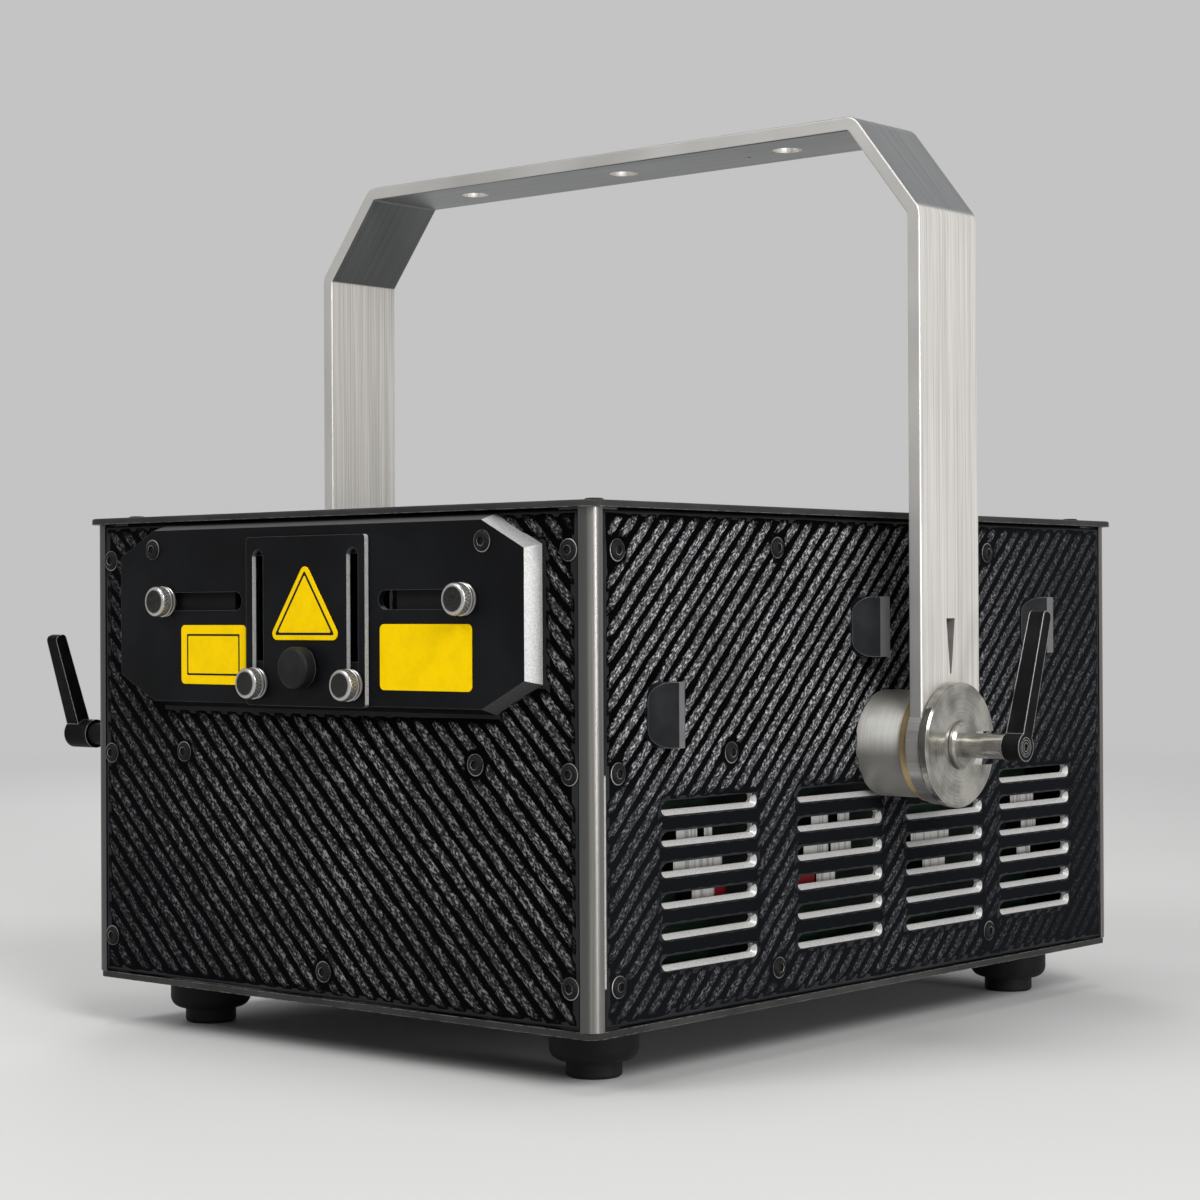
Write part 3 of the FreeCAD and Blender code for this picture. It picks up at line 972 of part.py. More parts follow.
def build_rear_fittings():
    """Mains inlet with its rocker, key lock with its key, signal sockets."""
    z = "foot_height + inlet_z"
    flange = box("inlet_flange", ("inlet_width", "inlet_flange", "inlet_tall"),
                 (FITTING_X, f"{HALF_DEPTH} + inlet_flange / 2", z))
    hull = box("inlet_hull", ("inlet_width - 2 * inlet_wall", "inlet_depth", "inlet_tall - 2 * inlet_wall"),
               (FITTING_X, f"{HALF_DEPTH} - inlet_depth / 2", z))
    deep = "(socket_deep + overrun)"
    cavity = box("inlet_cavity", ("socket_width", deep, "socket_tall"),
                 (FITTING_X, f"{HALF_DEPTH} + inlet_flange + overrun - {deep} / 2", f"{z} - socket_drop"))
    well_deep = "(rocker_deep + inlet_flange + rocker_gap + overrun)"
    well = box("rocker_well",
               ("rocker_width + 2 * rocker_gap", well_deep, "2 * (rocker_half + 2 * rocker_gap)"),
               (FITTING_X, f"{HALF_DEPTH} + inlet_flange + overrun - {well_deep} / 2", f"{z} + rocker_rise"))
    shell = cut("inlet_shell", joined("inlet_block", [flange, hull]), [cavity, well])
    blades = [box("inlet_blade", ("blade_tall", "blade_length + overrun", "blade_width"), (
        f"{FITTING_X} + {place_share} * blade_spread",
        f"{HALF_DEPTH} + inlet_flange - socket_deep + (blade_length - overrun) / 2", f"{z} - socket_drop"))
        for place_share in (-1, 0, 1)]
    node(joined("inlet", [shell] + blades), "power_inlet")

    rocker = Piece("power_switch")
    back = "-1 * rocker_deep"
    rocker.pad("YZ", [polygon(
        (back, "-1 * rocker_half"), ("rocker_proud", "-1 * rocker_half"), ("rocker_proud - rocker_dip", "0"),
        ("rocker_proud", "rocker_half"), (back, "rocker_half"), (back + " - rocker_gap / 2", "0"))],
        "rocker_width", both=True)
    turn_about_x(rocker.body, "rocker_tilt")
    place(rocker.body, FITTING_X, f"{HALF_DEPTH} + inlet_flange", f"{z} + rocker_rise")

    lock_x = f"{LOCK_SHARE} * body_width"
    lock_z = "foot_height + jack_z"
    collar = rod("lock_collar", "lock_radius", "lock_flange",
                 (lock_x, f"{HALF_DEPTH} + lock_flange / 2", lock_z), "Y")
    barrel = rod("lock_barrel", "lock_body", "lock_depth",
                 (lock_x, f"{HALF_DEPTH} - lock_depth / 2", lock_z), "Y")
    keyway = rod("lock_bore", "plug_radius + running_fit", "2 * plug_length",
                 (lock_x, f"{HALF_DEPTH} + lock_flange", lock_z), "Y")
    node(cut("lock", joined("lock_block", [collar, barrel]), [keyway]), "key_switch")

    face = f"{HALF_DEPTH} + lock_flange"
    plug = rod("key_plug", "plug_radius", "plug_length - sliding_gap",
               (lock_x, f"{face} - (plug_length - sliding_gap) / 2", lock_z), "Y")
    neck = box("key_neck_bar", ("key_thickness", "key_neck + key_bow_reach / 2", "key_neck"),
               (lock_x, f"{face} + key_bow_reach / 4", lock_z))
    bow = rod("key_bow_disc", "key_bow", "key_thickness", (lock_x, f"{face} + key_bow_reach", lock_z), "X")
    eye = rod("key_bow_eye", "key_eye", "key_thickness + overrun",
              (lock_x, f"{face} + key_bow_reach + key_eye", lock_z), "X")
    node(cut("key", joined("key_block", [plug, neck, bow]), [eye]), "switch_key")

    sockets = []
    jack_z = "foot_height + jack_z"
    for share in JACK_SHARES:
        x = f"{share} * body_width"
        plate = box("jack_plate", ("jack_width", "jack_flange", "jack_tall"),
                    (x, f"{HALF_DEPTH} + jack_flange / 2", jack_z))
        can = rod("jack_can", "jack_radius", "jack_depth", (x, f"{HALF_DEPTH} - jack_depth / 2", jack_z), "Y")
        nose = rod("jack_nose", "jack_lip", "jack_flange + jack_rise",
                   (x, f"{HALF_DEPTH} + (jack_flange + jack_rise) / 2", jack_z), "Y")
        pins = []
        for side, up in ((-1, 0), (1, 0), (0, -1)):
            pins.append(rod("jack_pin", "jack_hole", "jack_rise + jack_flange",
                            (f"{x} + {side} * jack_spread", f"{HALF_DEPTH} + jack_flange + jack_rise",
                             f"{jack_z} + {up} * jack_spread"), "Y"))
        sockets.append(cut("jack", joined("jack_block", [plate, can, nose]), pins))
    port_x = "-1 * " + FITTING_X
    plate = box("port_plate", ("port_width", "jack_flange", "port_tall"),
                (port_x, f"{HALF_DEPTH} + jack_flange / 2", jack_z))
    back = box("port_back", ("port_shell", "jack_depth / 2", "port_shell_tall"),
               (port_x, f"{HALF_DEPTH} - jack_depth / 4", jack_z))
    shell = Piece("port_shell_body", counted=False)
    wide = "port_shell / 2"
    narrow = "(port_shell / 2 - port_slope)"
    half = "port_shell_tall / 2"
    shell.pad("XZ", [polygon((f"-1 * {narrow}", f"-1 * {half}"), (narrow, f"-1 * {half}"), (wide, half),
                             (f"-1 * {wide}", half))], "port_rise", "-1 * port_rise")
    place(shell.body, port_x, HALF_DEPTH, jack_z)
    sockets.append(joined("port", [plate, back, shell.body]))
    group("signal_sockets", sockets)


def check_and_write():
    """Stop if any feature failed, then write every sub-part to its own file."""
    doc.recompute()
    failed = [thing.Label for thing in doc.Objects if "Invalid" in thing.State or "Error" in thing.State]
    if failed:
        raise RuntimeError("failed features: " + ", ".join(failed))
    for made in nodes:
        if made.Shape.isNull() or not made.Shape.isValid() or not made.Shape.Solids:
            raise RuntimeError(made.Label + " has no valid solid")
    os.makedirs("parts", exist_ok=True)
    for made in nodes:
        made.Shape.exportStep(f"parts/{made.Label}.step")
    print(len(nodes), "sub-parts written")


build_shell()
build_panels()
build_fasteners()
build_bumpers()
build_aperture()
build_thumb_screws()
build_yoke()
build_pivots()
build_beam_stop()
build_optics()
build_electronics()
build_rear_fittings()
check_and_write()
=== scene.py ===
"""Looks of a laser show projector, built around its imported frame. Lengths are in metres."""

import logging
import math
from dataclasses import dataclass, field
from enum import Enum

import bmesh
import bpy
import numpy as np
from mathutils import Matrix, Vector


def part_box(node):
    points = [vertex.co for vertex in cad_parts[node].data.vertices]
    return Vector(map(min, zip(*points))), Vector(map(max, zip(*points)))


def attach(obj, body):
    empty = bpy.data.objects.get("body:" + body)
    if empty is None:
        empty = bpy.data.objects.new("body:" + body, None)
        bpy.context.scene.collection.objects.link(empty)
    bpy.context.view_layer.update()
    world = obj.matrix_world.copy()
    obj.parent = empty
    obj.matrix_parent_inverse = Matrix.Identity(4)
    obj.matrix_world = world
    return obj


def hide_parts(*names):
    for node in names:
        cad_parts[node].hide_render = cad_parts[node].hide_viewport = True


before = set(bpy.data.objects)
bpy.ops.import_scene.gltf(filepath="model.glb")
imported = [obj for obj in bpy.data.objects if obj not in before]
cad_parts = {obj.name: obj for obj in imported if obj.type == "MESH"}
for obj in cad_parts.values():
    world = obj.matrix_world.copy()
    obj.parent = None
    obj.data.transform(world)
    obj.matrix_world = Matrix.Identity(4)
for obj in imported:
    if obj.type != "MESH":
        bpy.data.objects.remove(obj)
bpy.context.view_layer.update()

LOG = logging.getLogger("projector")
MM = 0.001
MERGE = 1e-6
HANDS = ("right", "left")
Colour = tuple[float, float, float]
Rect = tuple[float, float, float, float]


# Shader maths


class Value:
    """A socket in shader maths: an expression on values adds Math nodes."""

    def __init__(self, nodes: "Nodes", socket: bpy.types.NodeSocket) -> None:
        """Wrap an output of one of the nodes."""
        self.nodes = nodes
        self.socket = socket

    def maths(self, operation: str, *others: "Value | float") -> "Value":
        """Add a Math node on this value and those that follow it."""
        return self.nodes.node("ShaderNodeMath", {"operation": operation}, dict(enumerate((self, *others))))

    def __add__(self, other: "Value | float") -> "Value":
        """Sum of two values."""
        return self.maths("ADD", other)

    def __sub__(self, other: "Value | float") -> "Value":
        """Difference of two values."""
        return self.maths("SUBTRACT", other)

    def __rsub__(self, other: float) -> "Value":
        """Number less this value."""
        return self.nodes.node("ShaderNodeMath", {"operation": "SUBTRACT"}, {0: other, 1: self})

    def __mul__(self, other: "Value | float") -> "Value":
        """Product of two values."""
        return self.maths("MULTIPLY", other)

    def __pow__(self, other: float) -> "Value":
        """Power of a value."""
        return self.maths("POWER", other)

    def __abs__(self) -> "Value":
        """Value without its sign."""
        return self.maths("ABSOLUTE")

    __radd__ = __add__
    __rmul__ = __mul__

    def larger(self, other: "Value") -> "Value":
        """The larger of two values."""
        return self.maths("MAXIMUM", other)

    def rise(self, low: float, high: float) -> "Value":
        """Go smoothly from 0 at low to 1 at high."""
        return self.nodes.node("ShaderNodeMapRange", {"interpolation_type": "SMOOTHSTEP"},
                               {"Value": self, "From Min": low, "From Max": high})

    def within(self, low: float, high: float, soft: float) -> "Value":
        """1 between two limits and 0 beyond them, with soft ends."""
        return self.rise(low - soft, low) * (1 - self.rise(high, high + soft))


def uneven(base: float, *swings: tuple[Value, float]) -> Value:
    """A number that each noise, near 0.5, pushes up and down by its own swing."""
    return sum(((noise - 0.5) * swing for noise, swing in swings), base)


def toned(colour: Colour, factor: float, plus: float = 0.0) -> Colour:
    """A colour times a factor, with a little added where it is wanted, up to 1."""
    return tuple(min(1.0, part * factor + plus) for part in colour)


class Nodes:
    """A node tree under construction."""

    def __init__(self, tree: bpy.types.NodeTree) -> None:
        """Take up a tree that has its output node."""
        self.tree = tree

    def node(self, kind: str, settings: dict | None = None, sockets: dict | None = None,
             out: int | str = 0) -> Value:
        """Add any node.

        Args:
            kind: Blender's type of node.
            settings: properties that are set first.
            sockets: values or links of its inputs, by name or number.
            out: the output that is wanted.

        Returns:
            That output.
        """
        made = self.tree.nodes.new(kind)
        for key, setting in (settings or {}).items():
            setattr(made, key, setting)
        for key, given in (sockets or {}).items():
            self.feed(made.inputs[key], given)
        return Value(self, made.outputs[out])

    def feed(self, socket: bpy.types.NodeSocket, given: Value | float | tuple) -> None:
        """Link a value to an input, or set a number or colour on it.

        Args:
            socket: the input.
            given: the value, number, vector or colour.
        """
        if isinstance(given, Value):
            self.tree.links.new(given.socket, socket)
        elif socket.type == "RGBA":
            socket.default_value = (*given, 1)
        else:
            socket.default_value = given

    def close(self, surface: Value) -> None:
        """Link a surface to the tree's output."""
        output = next(made for made in self.tree.nodes if made.type.startswith("OUTPUT"))
        self.feed(output.inputs["Surface"], surface)


class Shader(Nodes):
    """One node material under construction."""

    SOCKETS = {"ior": "IOR", "specular": "Specular IOR Level"}

    def __init__(self, name: str) -> None:
        """Start an empty material with a Principled surface.

        Args:
            name: the material's name.
        """
        self.material = bpy.data.materials.new(name)
        self.material.use_nodes = True
        super().__init__(self.material.node_tree)
        self.surface = next(made for made in self.tree.nodes if made.type == "BSDF_PRINCIPLED")
        self.place = self.node("ShaderNodeTexCoord", out="Object")
        self.facing = Value(self, self.place.socket.node.outputs["Normal"])

    def split(self, vector: Value) -> tuple[Value, Value, Value]:
        """The three parts of a vector."""
        parts = self.node("ShaderNodeSeparateXYZ", None, {0: vector}).socket.node
        return tuple(Value(self, socket) for socket in parts.outputs)

    def mix(self, share: Value, a: Value | Colour, b: Value | Colour) -> Value:
        """Mix two colours by a share from 0, all a, to 1, all b."""
        return self.node("ShaderNodeMix", {"data_type": "RGBA"}, {0: share, 6: a, 7: b}, 2)

    def mark(self, name: str) -> Value:
        """A number that is kept at the points of the mesh."""
        return self.node("ShaderNodeAttribute", {"attribute_name": name}, None, "Fac")

    def noise(self, pitch: float, stretch: tuple = (1, 1, 1), turn: tuple = (0, 0, 0), detail: float = 2,
              roughness: float = 0.5) -> Value:
        """Soft noise in the piece's own coordinates.

        Args:
            pitch: size of its grains.
            stretch: how much longer the grains are along each axis, after the turn.
            turn: the pattern's own turn about each axis, in degrees.
            detail: octaves.
            roughness: strength of the finer octaves.

        Returns:
            A value near 0.5 that runs from 0 to 1.
        """
        spot = self.node("ShaderNodeMapping", {"vector_type": "TEXTURE"}, {
            "Vector": self.place, "Rotation": tuple(math.radians(a) for a in turn), "Scale": stretch})
        return self.node("ShaderNodeTexNoise", None, {
            "Vector": spot, "Scale": 1 / pitch, "Detail": detail, "Roughness": roughness})

    def bump(self, height: Value, depth: float, strength: float) -> Value:
        """A normal that follows a height from 0 to 1, of a depth in metres."""
        return self.node("ShaderNodeBump", None, {"Height": height, "Distance": depth, "Strength": strength})

    def edges(self, radius: float) -> Value:
        """Find the sharp edges of a piece, where a rounded normal leans away from the true one.

        Args:
            radius: how far the rounding reaches from an edge.

        Returns:
            1 along the edges and 0 on the faces.
        """
        true = self.node("ShaderNodeNewGeometry", out="True Normal")
        soft = self.node("ShaderNodeBevel", {"samples": 6}, {"Radius": radius})
        lean = self.node("ShaderNodeVectorMath", {"operation": "DOT_PRODUCT"}, {0: true, 1: soft}, "Value")
        return (1 - lean).rise(0.02, 0.2)

    def finish(self, **sockets: Value | float | tuple) -> None:
        """Set or link the surface's inputs.

        Args:
            sockets: what each input gets, by its name in words joined by underscores.
        """
        for words, given in sockets.items():
            name = self.SOCKETS.get(words, words.replace("_", " ").title())
            self.feed(self.surface.inputs[name], given)


# Finishes


class Bare(Enum):
    """Where a coat leaves the metal bare."""

    NOWHERE = "nowhere"
    WALLS = "walls"
    OUTER_WALLS = "outer walls"
    SIDE_LIPS = "side lips"
    REAR_LIPS = "rear lips"
    RIM = "rim"


@dataclass(frozen=True)
class Finish:
    """A surface finish that makes its material once."""

    name: str

    def material(self) -> bpy.types.Material:
        """Find the finish's material, and make it on first use.

        Returns:
            The material.
        """
        name = "finish_" + self.name
        found = bpy.data.materials.get(name)
        if found is None:
            shader = Shader(name)
            self.paint(shader)
            found = shader.material
        return found

    def paint(self, shader: Shader) -> None:
        """Fill the material's tree."""
        raise NotImplementedError


@dataclass(frozen=True)
class BrushedMetal(Finish):
    """Metal with straight brush lines: fine noise drawn out along the brushing."""

    tint: Colour = (0.6, 0.585, 0.56)
    roughness: float = 0.3
    stretch: tuple = (200, 1, 200)
    pitch: float = 0.35 * MM
    contrast: float = 0.3
    metal: float = 1.0
    # Painted shade: the darker tint of level faces, and how much of it the end faces get.
    facing_shade_tint: Colour | None = None
    end_face_shade: float = 0.45
    fine_share: float = 0.85
    broad: float = 9.0
    tarnish: float = 60 * MM
    relief: float = 0.04 * MM

    def paint(self, shader: Shader) -> None:
        """Brush lines in colour, gloss and relief, slow tarnish, and painted shade: a darker tint on level
        and end faces.

        Args:
            shader: the material.
        """
        lines = shader.noise(self.pitch, self.stretch, detail=3, roughness=0.65)
        broad = shader.noise(self.pitch * self.broad, self.stretch, detail=1)
        tarnish = shader.noise(self.tarnish)
        tone = (lines * self.fine_share + broad * (1 - self.fine_share)).rise(0.3, 0.7)
        dark, light = toned(self.tint, 1 - self.contrast), toned(self.tint, 1 + self.contrast / 3)
        colour = shader.mix(tone, dark, light)
        # Painted shade and reflection: faces that look up, down or along Y get a darker tint, as if they
        # faced dark surroundings.
        if self.facing_shade_tint:
            _, along, up = shader.split(shader.facing)
            level = abs(up).rise(0.35, 0.6).larger(abs(along).rise(0.8, 0.95) * self.end_face_shade)
            colour = shader.mix(level * (0.75 + tone * 0.25), colour, self.facing_shade_tint)
        shader.finish(base_color=colour, metallic=self.metal,
                      roughness=uneven(self.roughness, (lines, 0.22), (tarnish, 0.08)),
                      normal=shader.bump(lines, self.relief, 0.5))


@dataclass(frozen=True)
class TurnedMetal(Finish):
    """Metal turned on a lathe about an axis along X: fine rings by radius and by length."""

    tint: Colour = (0.66, 0.63, 0.58)
    roughness: float = 0.2
    centre_y: float = 3 * MM
    centre_z: float = 123.5 * MM
    ring: float = 0.4 * MM
    metal: float = 1.0
    smudge: float = 0.72
    ring_share: float = 0.5
    # Painted highlight: how strongly the tone darkens away from a band of upward lean, where the band lies,
    # and the darker tone.
    painted_highlight: float = 0.0
    highlight_at: float = 0.35
    dull: float = 0.24
    patch: float = 14 * MM
    relief: float = 0.03 * MM

    def paint(self, shader: Shader) -> None:
        """Rings in gloss and relief, a slow change of tone, and a painted highlight: a bright band where the
        normal leans up by a set amount, darker above and below it.

        Args:
            shader: the material.
        """
        x, y, z = shader.split(shader.place)
        radius = ((y - self.centre_y) ** 2 + (z - self.centre_z) ** 2) ** 0.5
        spot = shader.node("ShaderNodeCombineXYZ", None, {0: x, 1: radius})
        rings = shader.node("ShaderNodeTexNoise", None, {
            "Vector": spot, "Scale": 1 / self.ring, "Detail": 2.0, "Roughness": 0.6})
        slow = shader.noise(self.patch, detail=3)
        tone = (rings * self.ring_share + slow * (1 - self.ring_share)).rise(0.36, 0.64)
        colour = shader.mix(tone, toned(self.tint, self.smudge), toned(self.tint, 1.12))
        # Painted highlight and shade: away from the band the colour goes to a darker tint.
        if self.painted_highlight:
            up = shader.split(shader.facing)[2]
            away = abs(up - self.highlight_at).rise(0.08, 0.6)
            colour = shader.mix(away * self.painted_highlight, colour, toned(self.tint, self.dull))
        shader.finish(base_color=colour, metallic=self.metal,
                      roughness=uneven(self.roughness, (rings, 0.16), (slow, 0.14)),
                      normal=shader.bump(rings, self.relief, 0.5))


@dataclass(frozen=True)
class Coat(Finish):
    """Black coat on metal: fine pebbled grain, and bare metal where tools or hands took the coat off; walls
    that face down keep the coat as painted shade.
    """

    colour: Colour = (0.012, 0.0125, 0.014)
    roughness: float = 0.4
    grain: float = 0.5 * MM
    depth: float = 0.05 * MM
    bare: Bare = Bare.NOWHERE
    bare_tint: Colour = (0.72, 0.715, 0.70)
    bare_roughness: float = 0.42
    bare_metal: float = 0.35
    specular: float = 0.08
    dust: float = 45 * MM
    milling: float = 0.6 * MM
    rim_wear: float = 0.5 * MM
    wall_edge_wear_and_light: float = 0.35 * MM
    chips: float = 3 * MM
    slots_end: float = 92 * MM
    side_lips: tuple = (0.040, 0.118)
    rear_lips: tuple = (0.126, 0.2)

    def bare_share(self, shader: Shader) -> Value | None:
        """Where the metal shows, from the way the surface faces and where it is; walls that face down keep
        the dark coat as painted shade.

        Args:
            shader: the material.

        Returns:
            1 on bare metal and 0 on the coat, or None where there is none.
        """
        if self.bare is Bare.NOWHERE:
            return None
        if self.bare is Bare.RIM:
            return shader.edges(self.rim_wear) * shader.noise(self.chips, detail=3).rise(0.36, 0.6)
        x, _, z = shader.split(shader.place)
        across, along, up = shader.split(shader.facing)
        if self.bare in (Bare.WALLS, Bare.OUTER_WALLS):
            # Painted shade: side walls that face down stay mostly coated and dark, and walls that face up are
            # partly bare.
            sides = abs(across).rise(0.2, 0.5) * (0.15 + 0.85 * up.rise(-0.3, -0.05))
            if self.bare is Bare.OUTER_WALLS:
                sides = sides * abs(x).rise(self.slots_end, self.slots_end + MM)
            walls = sides.larger(up.rise(0.5, 0.9) * 0.2) * (1 - abs(along).rise(0.85, 0.97))
            # Pale lines along sharp edges: partly worn coat, partly painted highlight.
            return walls.larger(shader.edges(self.wall_edge_wear_and_light) * 0.22)
        # Painted shade: lips that face up and slot ends are bare, and upper walls that face down keep the
        # black coat.
        on_side = self.bare is Bare.SIDE_LIPS
        ends = abs(along if on_side else across).rise(0.25, 0.5)
        low, high = self.side_lips if on_side else self.rear_lips
        return up.rise(0.25, 0.5).larger(ends * 0.8) * z.within(low, high, MM)

    def paint(self, shader: Shader) -> None:
        """Grain in relief and gloss, dust in the tone, and milled metal where the coat is off.

        Args:
            shader: the material.
        """
        grain = shader.noise(self.grain, roughness=0.6)
        dust = shader.noise(self.dust, detail=4, roughness=0.6)
        colour = shader.mix(dust.rise(0.35, 0.8), self.colour, toned(self.colour, 1.9, 0.002))
        rough = uneven(self.roughness, (grain, 0.16), (dust, 0.12))
        metal = 0.0
        bare = self.bare_share(shader)
        if bare is not None:
            milled = shader.noise(self.milling, detail=3, roughness=0.7).rise(0.25, 0.7)
            colour = shader.mix(bare, colour, shader.mix(milled, toned(self.bare_tint, 0.62), self.bare_tint))
            rough = rough + bare * (self.bare_roughness - self.roughness)
            metal = bare * self.bare_metal
        shader.finish(base_color=colour, roughness=rough, metallic=metal, specular=self.specular,
                      normal=shader.bump(grain, self.depth, 0.6))


@dataclass(frozen=True)
class Weave:
    """How the cords of one cover lie, how bright they are, and where along an axis and up they are darkened
    by painted shade.
    """

    angle: float = -45.0
    pitch: float = 6.9 * MM
    crest: float = 0.08
    fleck: float = 0.28
    axis: int = 0
    near_at: float = 0.02
    far_at: float = -0.12
    far: float = 1.0
    high_at: float = 0.13
    low_at: float = 0.06
    low: float = 0.6
    shade_tone: float = 0.004


@dataclass(frozen=True)
class Cords(Finish):
    """Black corded cover: raised cords with fibre flecks and near-black gaps between them, the gaps partly
    the cover's own dark and partly painted shade.
    """

    weave: Weave
    turn: tuple
    stretch: tuple
    gap: Colour = (0.0011, 0.0011, 0.0013)
    tint: Colour = (0.985, 0.98, 1.02)
    shade_tint: Colour = (0.9, 1.0, 1.2)
    fibre: float = 0.75 * MM
    fleck: float = 1.5 * MM
    patch: float = 40 * MM
    relief: float = 0.6 * MM

    def lit_share(self, shader: Shader) -> Value:
        """How lit the cords are painted: fully near the front right corner, less far off and low down.

        Args:
            shader: the material.

        Returns:
            1 where the cords are painted fully lit, falling towards 0 where painted shade hides them.
        """
        weave = self.weave
        parts = shader.split(shader.place)
        along = parts[weave.axis].rise(weave.far_at, weave.near_at)
        up = parts[2].rise(weave.low_at, weave.high_at)
        return (weave.far + (1 - weave.far) * along) * (weave.low + (1 - weave.low) * up)

    def paint(self, shader: Shader) -> None:
        """Colour by the height of the cord, darkest in the grooves as partly painted shade, flecks drawn out
        along it, fibres in relief.

        Args:
            shader: the material.
        """
        crest = self.weave.crest
        dark, pale, bright = (toned(self.tint, tone) for tone in (crest * 0.12, crest, self.weave.fleck))
        fibre = shader.noise(self.fibre, self.stretch, self.turn, detail=3, roughness=0.7)
        fleck = shader.noise(self.fleck, self.stretch, self.turn, roughness=0.7)
        broad = shader.noise(self.patch)
        flecks = (fleck * 0.5 + fibre * 0.5).rise(0.5, 0.64) * (0.5 + broad.rise(0.3, 0.7) * 0.5)
        body = shader.mix(flecks, shader.mix(fibre.rise(0.36, 0.62), dark, pale), bright)
        # The gap colour in the grooves: partly the cover's own dark, partly painted shade.
        frayed = (shader.mark("cord") + (fibre - 0.5) * 0.7).rise(0.25, 0.8)
        woven = shader.mix(frayed, self.gap, body)
        # Painted light and shade: the cords are brightest near the front right top corner and fade to a dark
        # shade colour far off and low down.
        shade_tone = toned(self.shade_tint, self.weave.shade_tone)
        shader.finish(base_color=shader.mix(self.lit_share(shader), shade_tone, woven),
                      roughness=0.95 - fibre * 0.2, specular=0.02,
                      normal=shader.bump(fibre + fleck * 0.6, self.relief, 0.9))


@dataclass(frozen=True)
class Moulded(Finish):
    """Rubber or plastic with a fine moulded grain, paler along its edges where wanted: partly rubbed wear,
    partly painted highlight.
    """

    colour: Colour = (0.014, 0.0145, 0.016)
    roughness: float = 0.5
    grain: float = 0.6 * MM
    depth: float = 0.04 * MM
    worn_and_lit: Colour | None = None
    worn_and_lit_metal: float = 0.9
    lit_face_tone: float = 0.0
    edge: float = 0.8 * MM
    patch: float = 18 * MM
    specular: float = 0.14

    def paint(self, shader: Shader) -> None:
        """Grain in relief and gloss, handling marks in the tone, painted light on faces that look along X,
        and pale edges that are partly wear and partly painted highlight.

        Args:
            shader: the material.
        """
        grain = shader.noise(self.grain)
        marks = shader.noise(self.patch, detail=4, roughness=0.65)
        colour = shader.mix(marks.rise(0.4, 0.75), self.colour, toned(self.colour, 1.7, 0.003))
        metal = 0.0
        # Painted light: faces that look along X are painted paler.
        if self.lit_face_tone:
            outward = abs(shader.split(shader.facing)[0]).rise(0.93, 0.99)
            colour = shader.mix(outward * (0.6 + marks * 0.4), colour, (self.lit_face_tone,) * 3)
        # Pale edges: partly rubbed wear, partly painted highlight.
        if self.worn_and_lit:
            edge = shader.edges(self.edge) * marks.rise(0.2, 0.45)
            colour = shader.mix(edge, colour, self.worn_and_lit)
            metal = edge * self.worn_and_lit_metal
        shader.finish(base_color=colour, metallic=metal, specular=self.specular,
                      roughness=uneven(self.roughness, (grain, 0.16), (marks, 0.16)),
                      normal=shader.bump(grain, self.depth, 0.6))


@dataclass(frozen=True)
class RubbedAndLit(Finish):
    """Dark screw painted bright where its mesh is marked so, on its rims and the tops of its knurl: partly
    rubbed wear, partly painted highlight.
    """

    tint: Colour = (0.5, 0.49, 0.475)
    end: Colour = (0.02, 0.0195, 0.019)
    gloss: float = 0.22
    speck: float = 0.55 * MM
    relief: float = 0.1 * MM

    def paint(self, shader: Shader) -> None:
        """Dark in the grooves and on the end, bright on the rims, both speckled; the bright rims are partly
        painted highlight.

        Args:
            shader: the material.
        """
        speck = shader.noise(self.speck, detail=3, roughness=0.7)
        bright = (shader.mark("bright") + (speck - 0.5) * 0.5).rise(0.3, 0.9)
        dull = shader.mix(speck.rise(0.4, 0.7), toned(self.end, 0.6), toned(self.end, 1.8))
        shader.finish(base_color=shader.mix(bright, dull, self.tint), metallic=bright * 0.9,
                      roughness=0.5 - bright * self.gloss, specular=0.12,
                      normal=shader.bump(speck, self.relief, 0.6))


@dataclass(frozen=True)
class Plate(Finish):
    """Yellow enamel on a bare plate, with a thin dark line inside its edge where one is wanted."""

    colour: Colour = (1.0, 0.665, 0.0)
    line: Colour = (0.012, 0.012, 0.012)
    line_from: float = 0.0
    line_to: float = 0.0
    line_soft: float = 0.05 * MM
    scuff: float = 9 * MM
    grain: float = 0.9 * MM
    relief: float = 0.02 * MM

    def paint(self, shader: Shader) -> None:
        """Line by the distance from the edge, faint scuffs in tone and gloss.

        Args:
            shader: the material.
        """
        scuff = shader.noise(self.scuff, detail=4, roughness=0.7)
        grain = shader.noise(self.grain)
        tone = shader.mix(scuff.rise(0.35, 0.75), self.colour, toned(self.colour, 0.9))
        if self.line_to:
            line = shader.mark("inset").within(self.line_from, self.line_to, self.line_soft)
            tone = shader.mix(line, tone, self.line)
        shader.finish(base_color=tone, roughness=uneven(0.45, (scuff, 0.2), (grain, 0.08)), specular=0.04,
                      normal=shader.bump(grain, self.relief, 0.4))


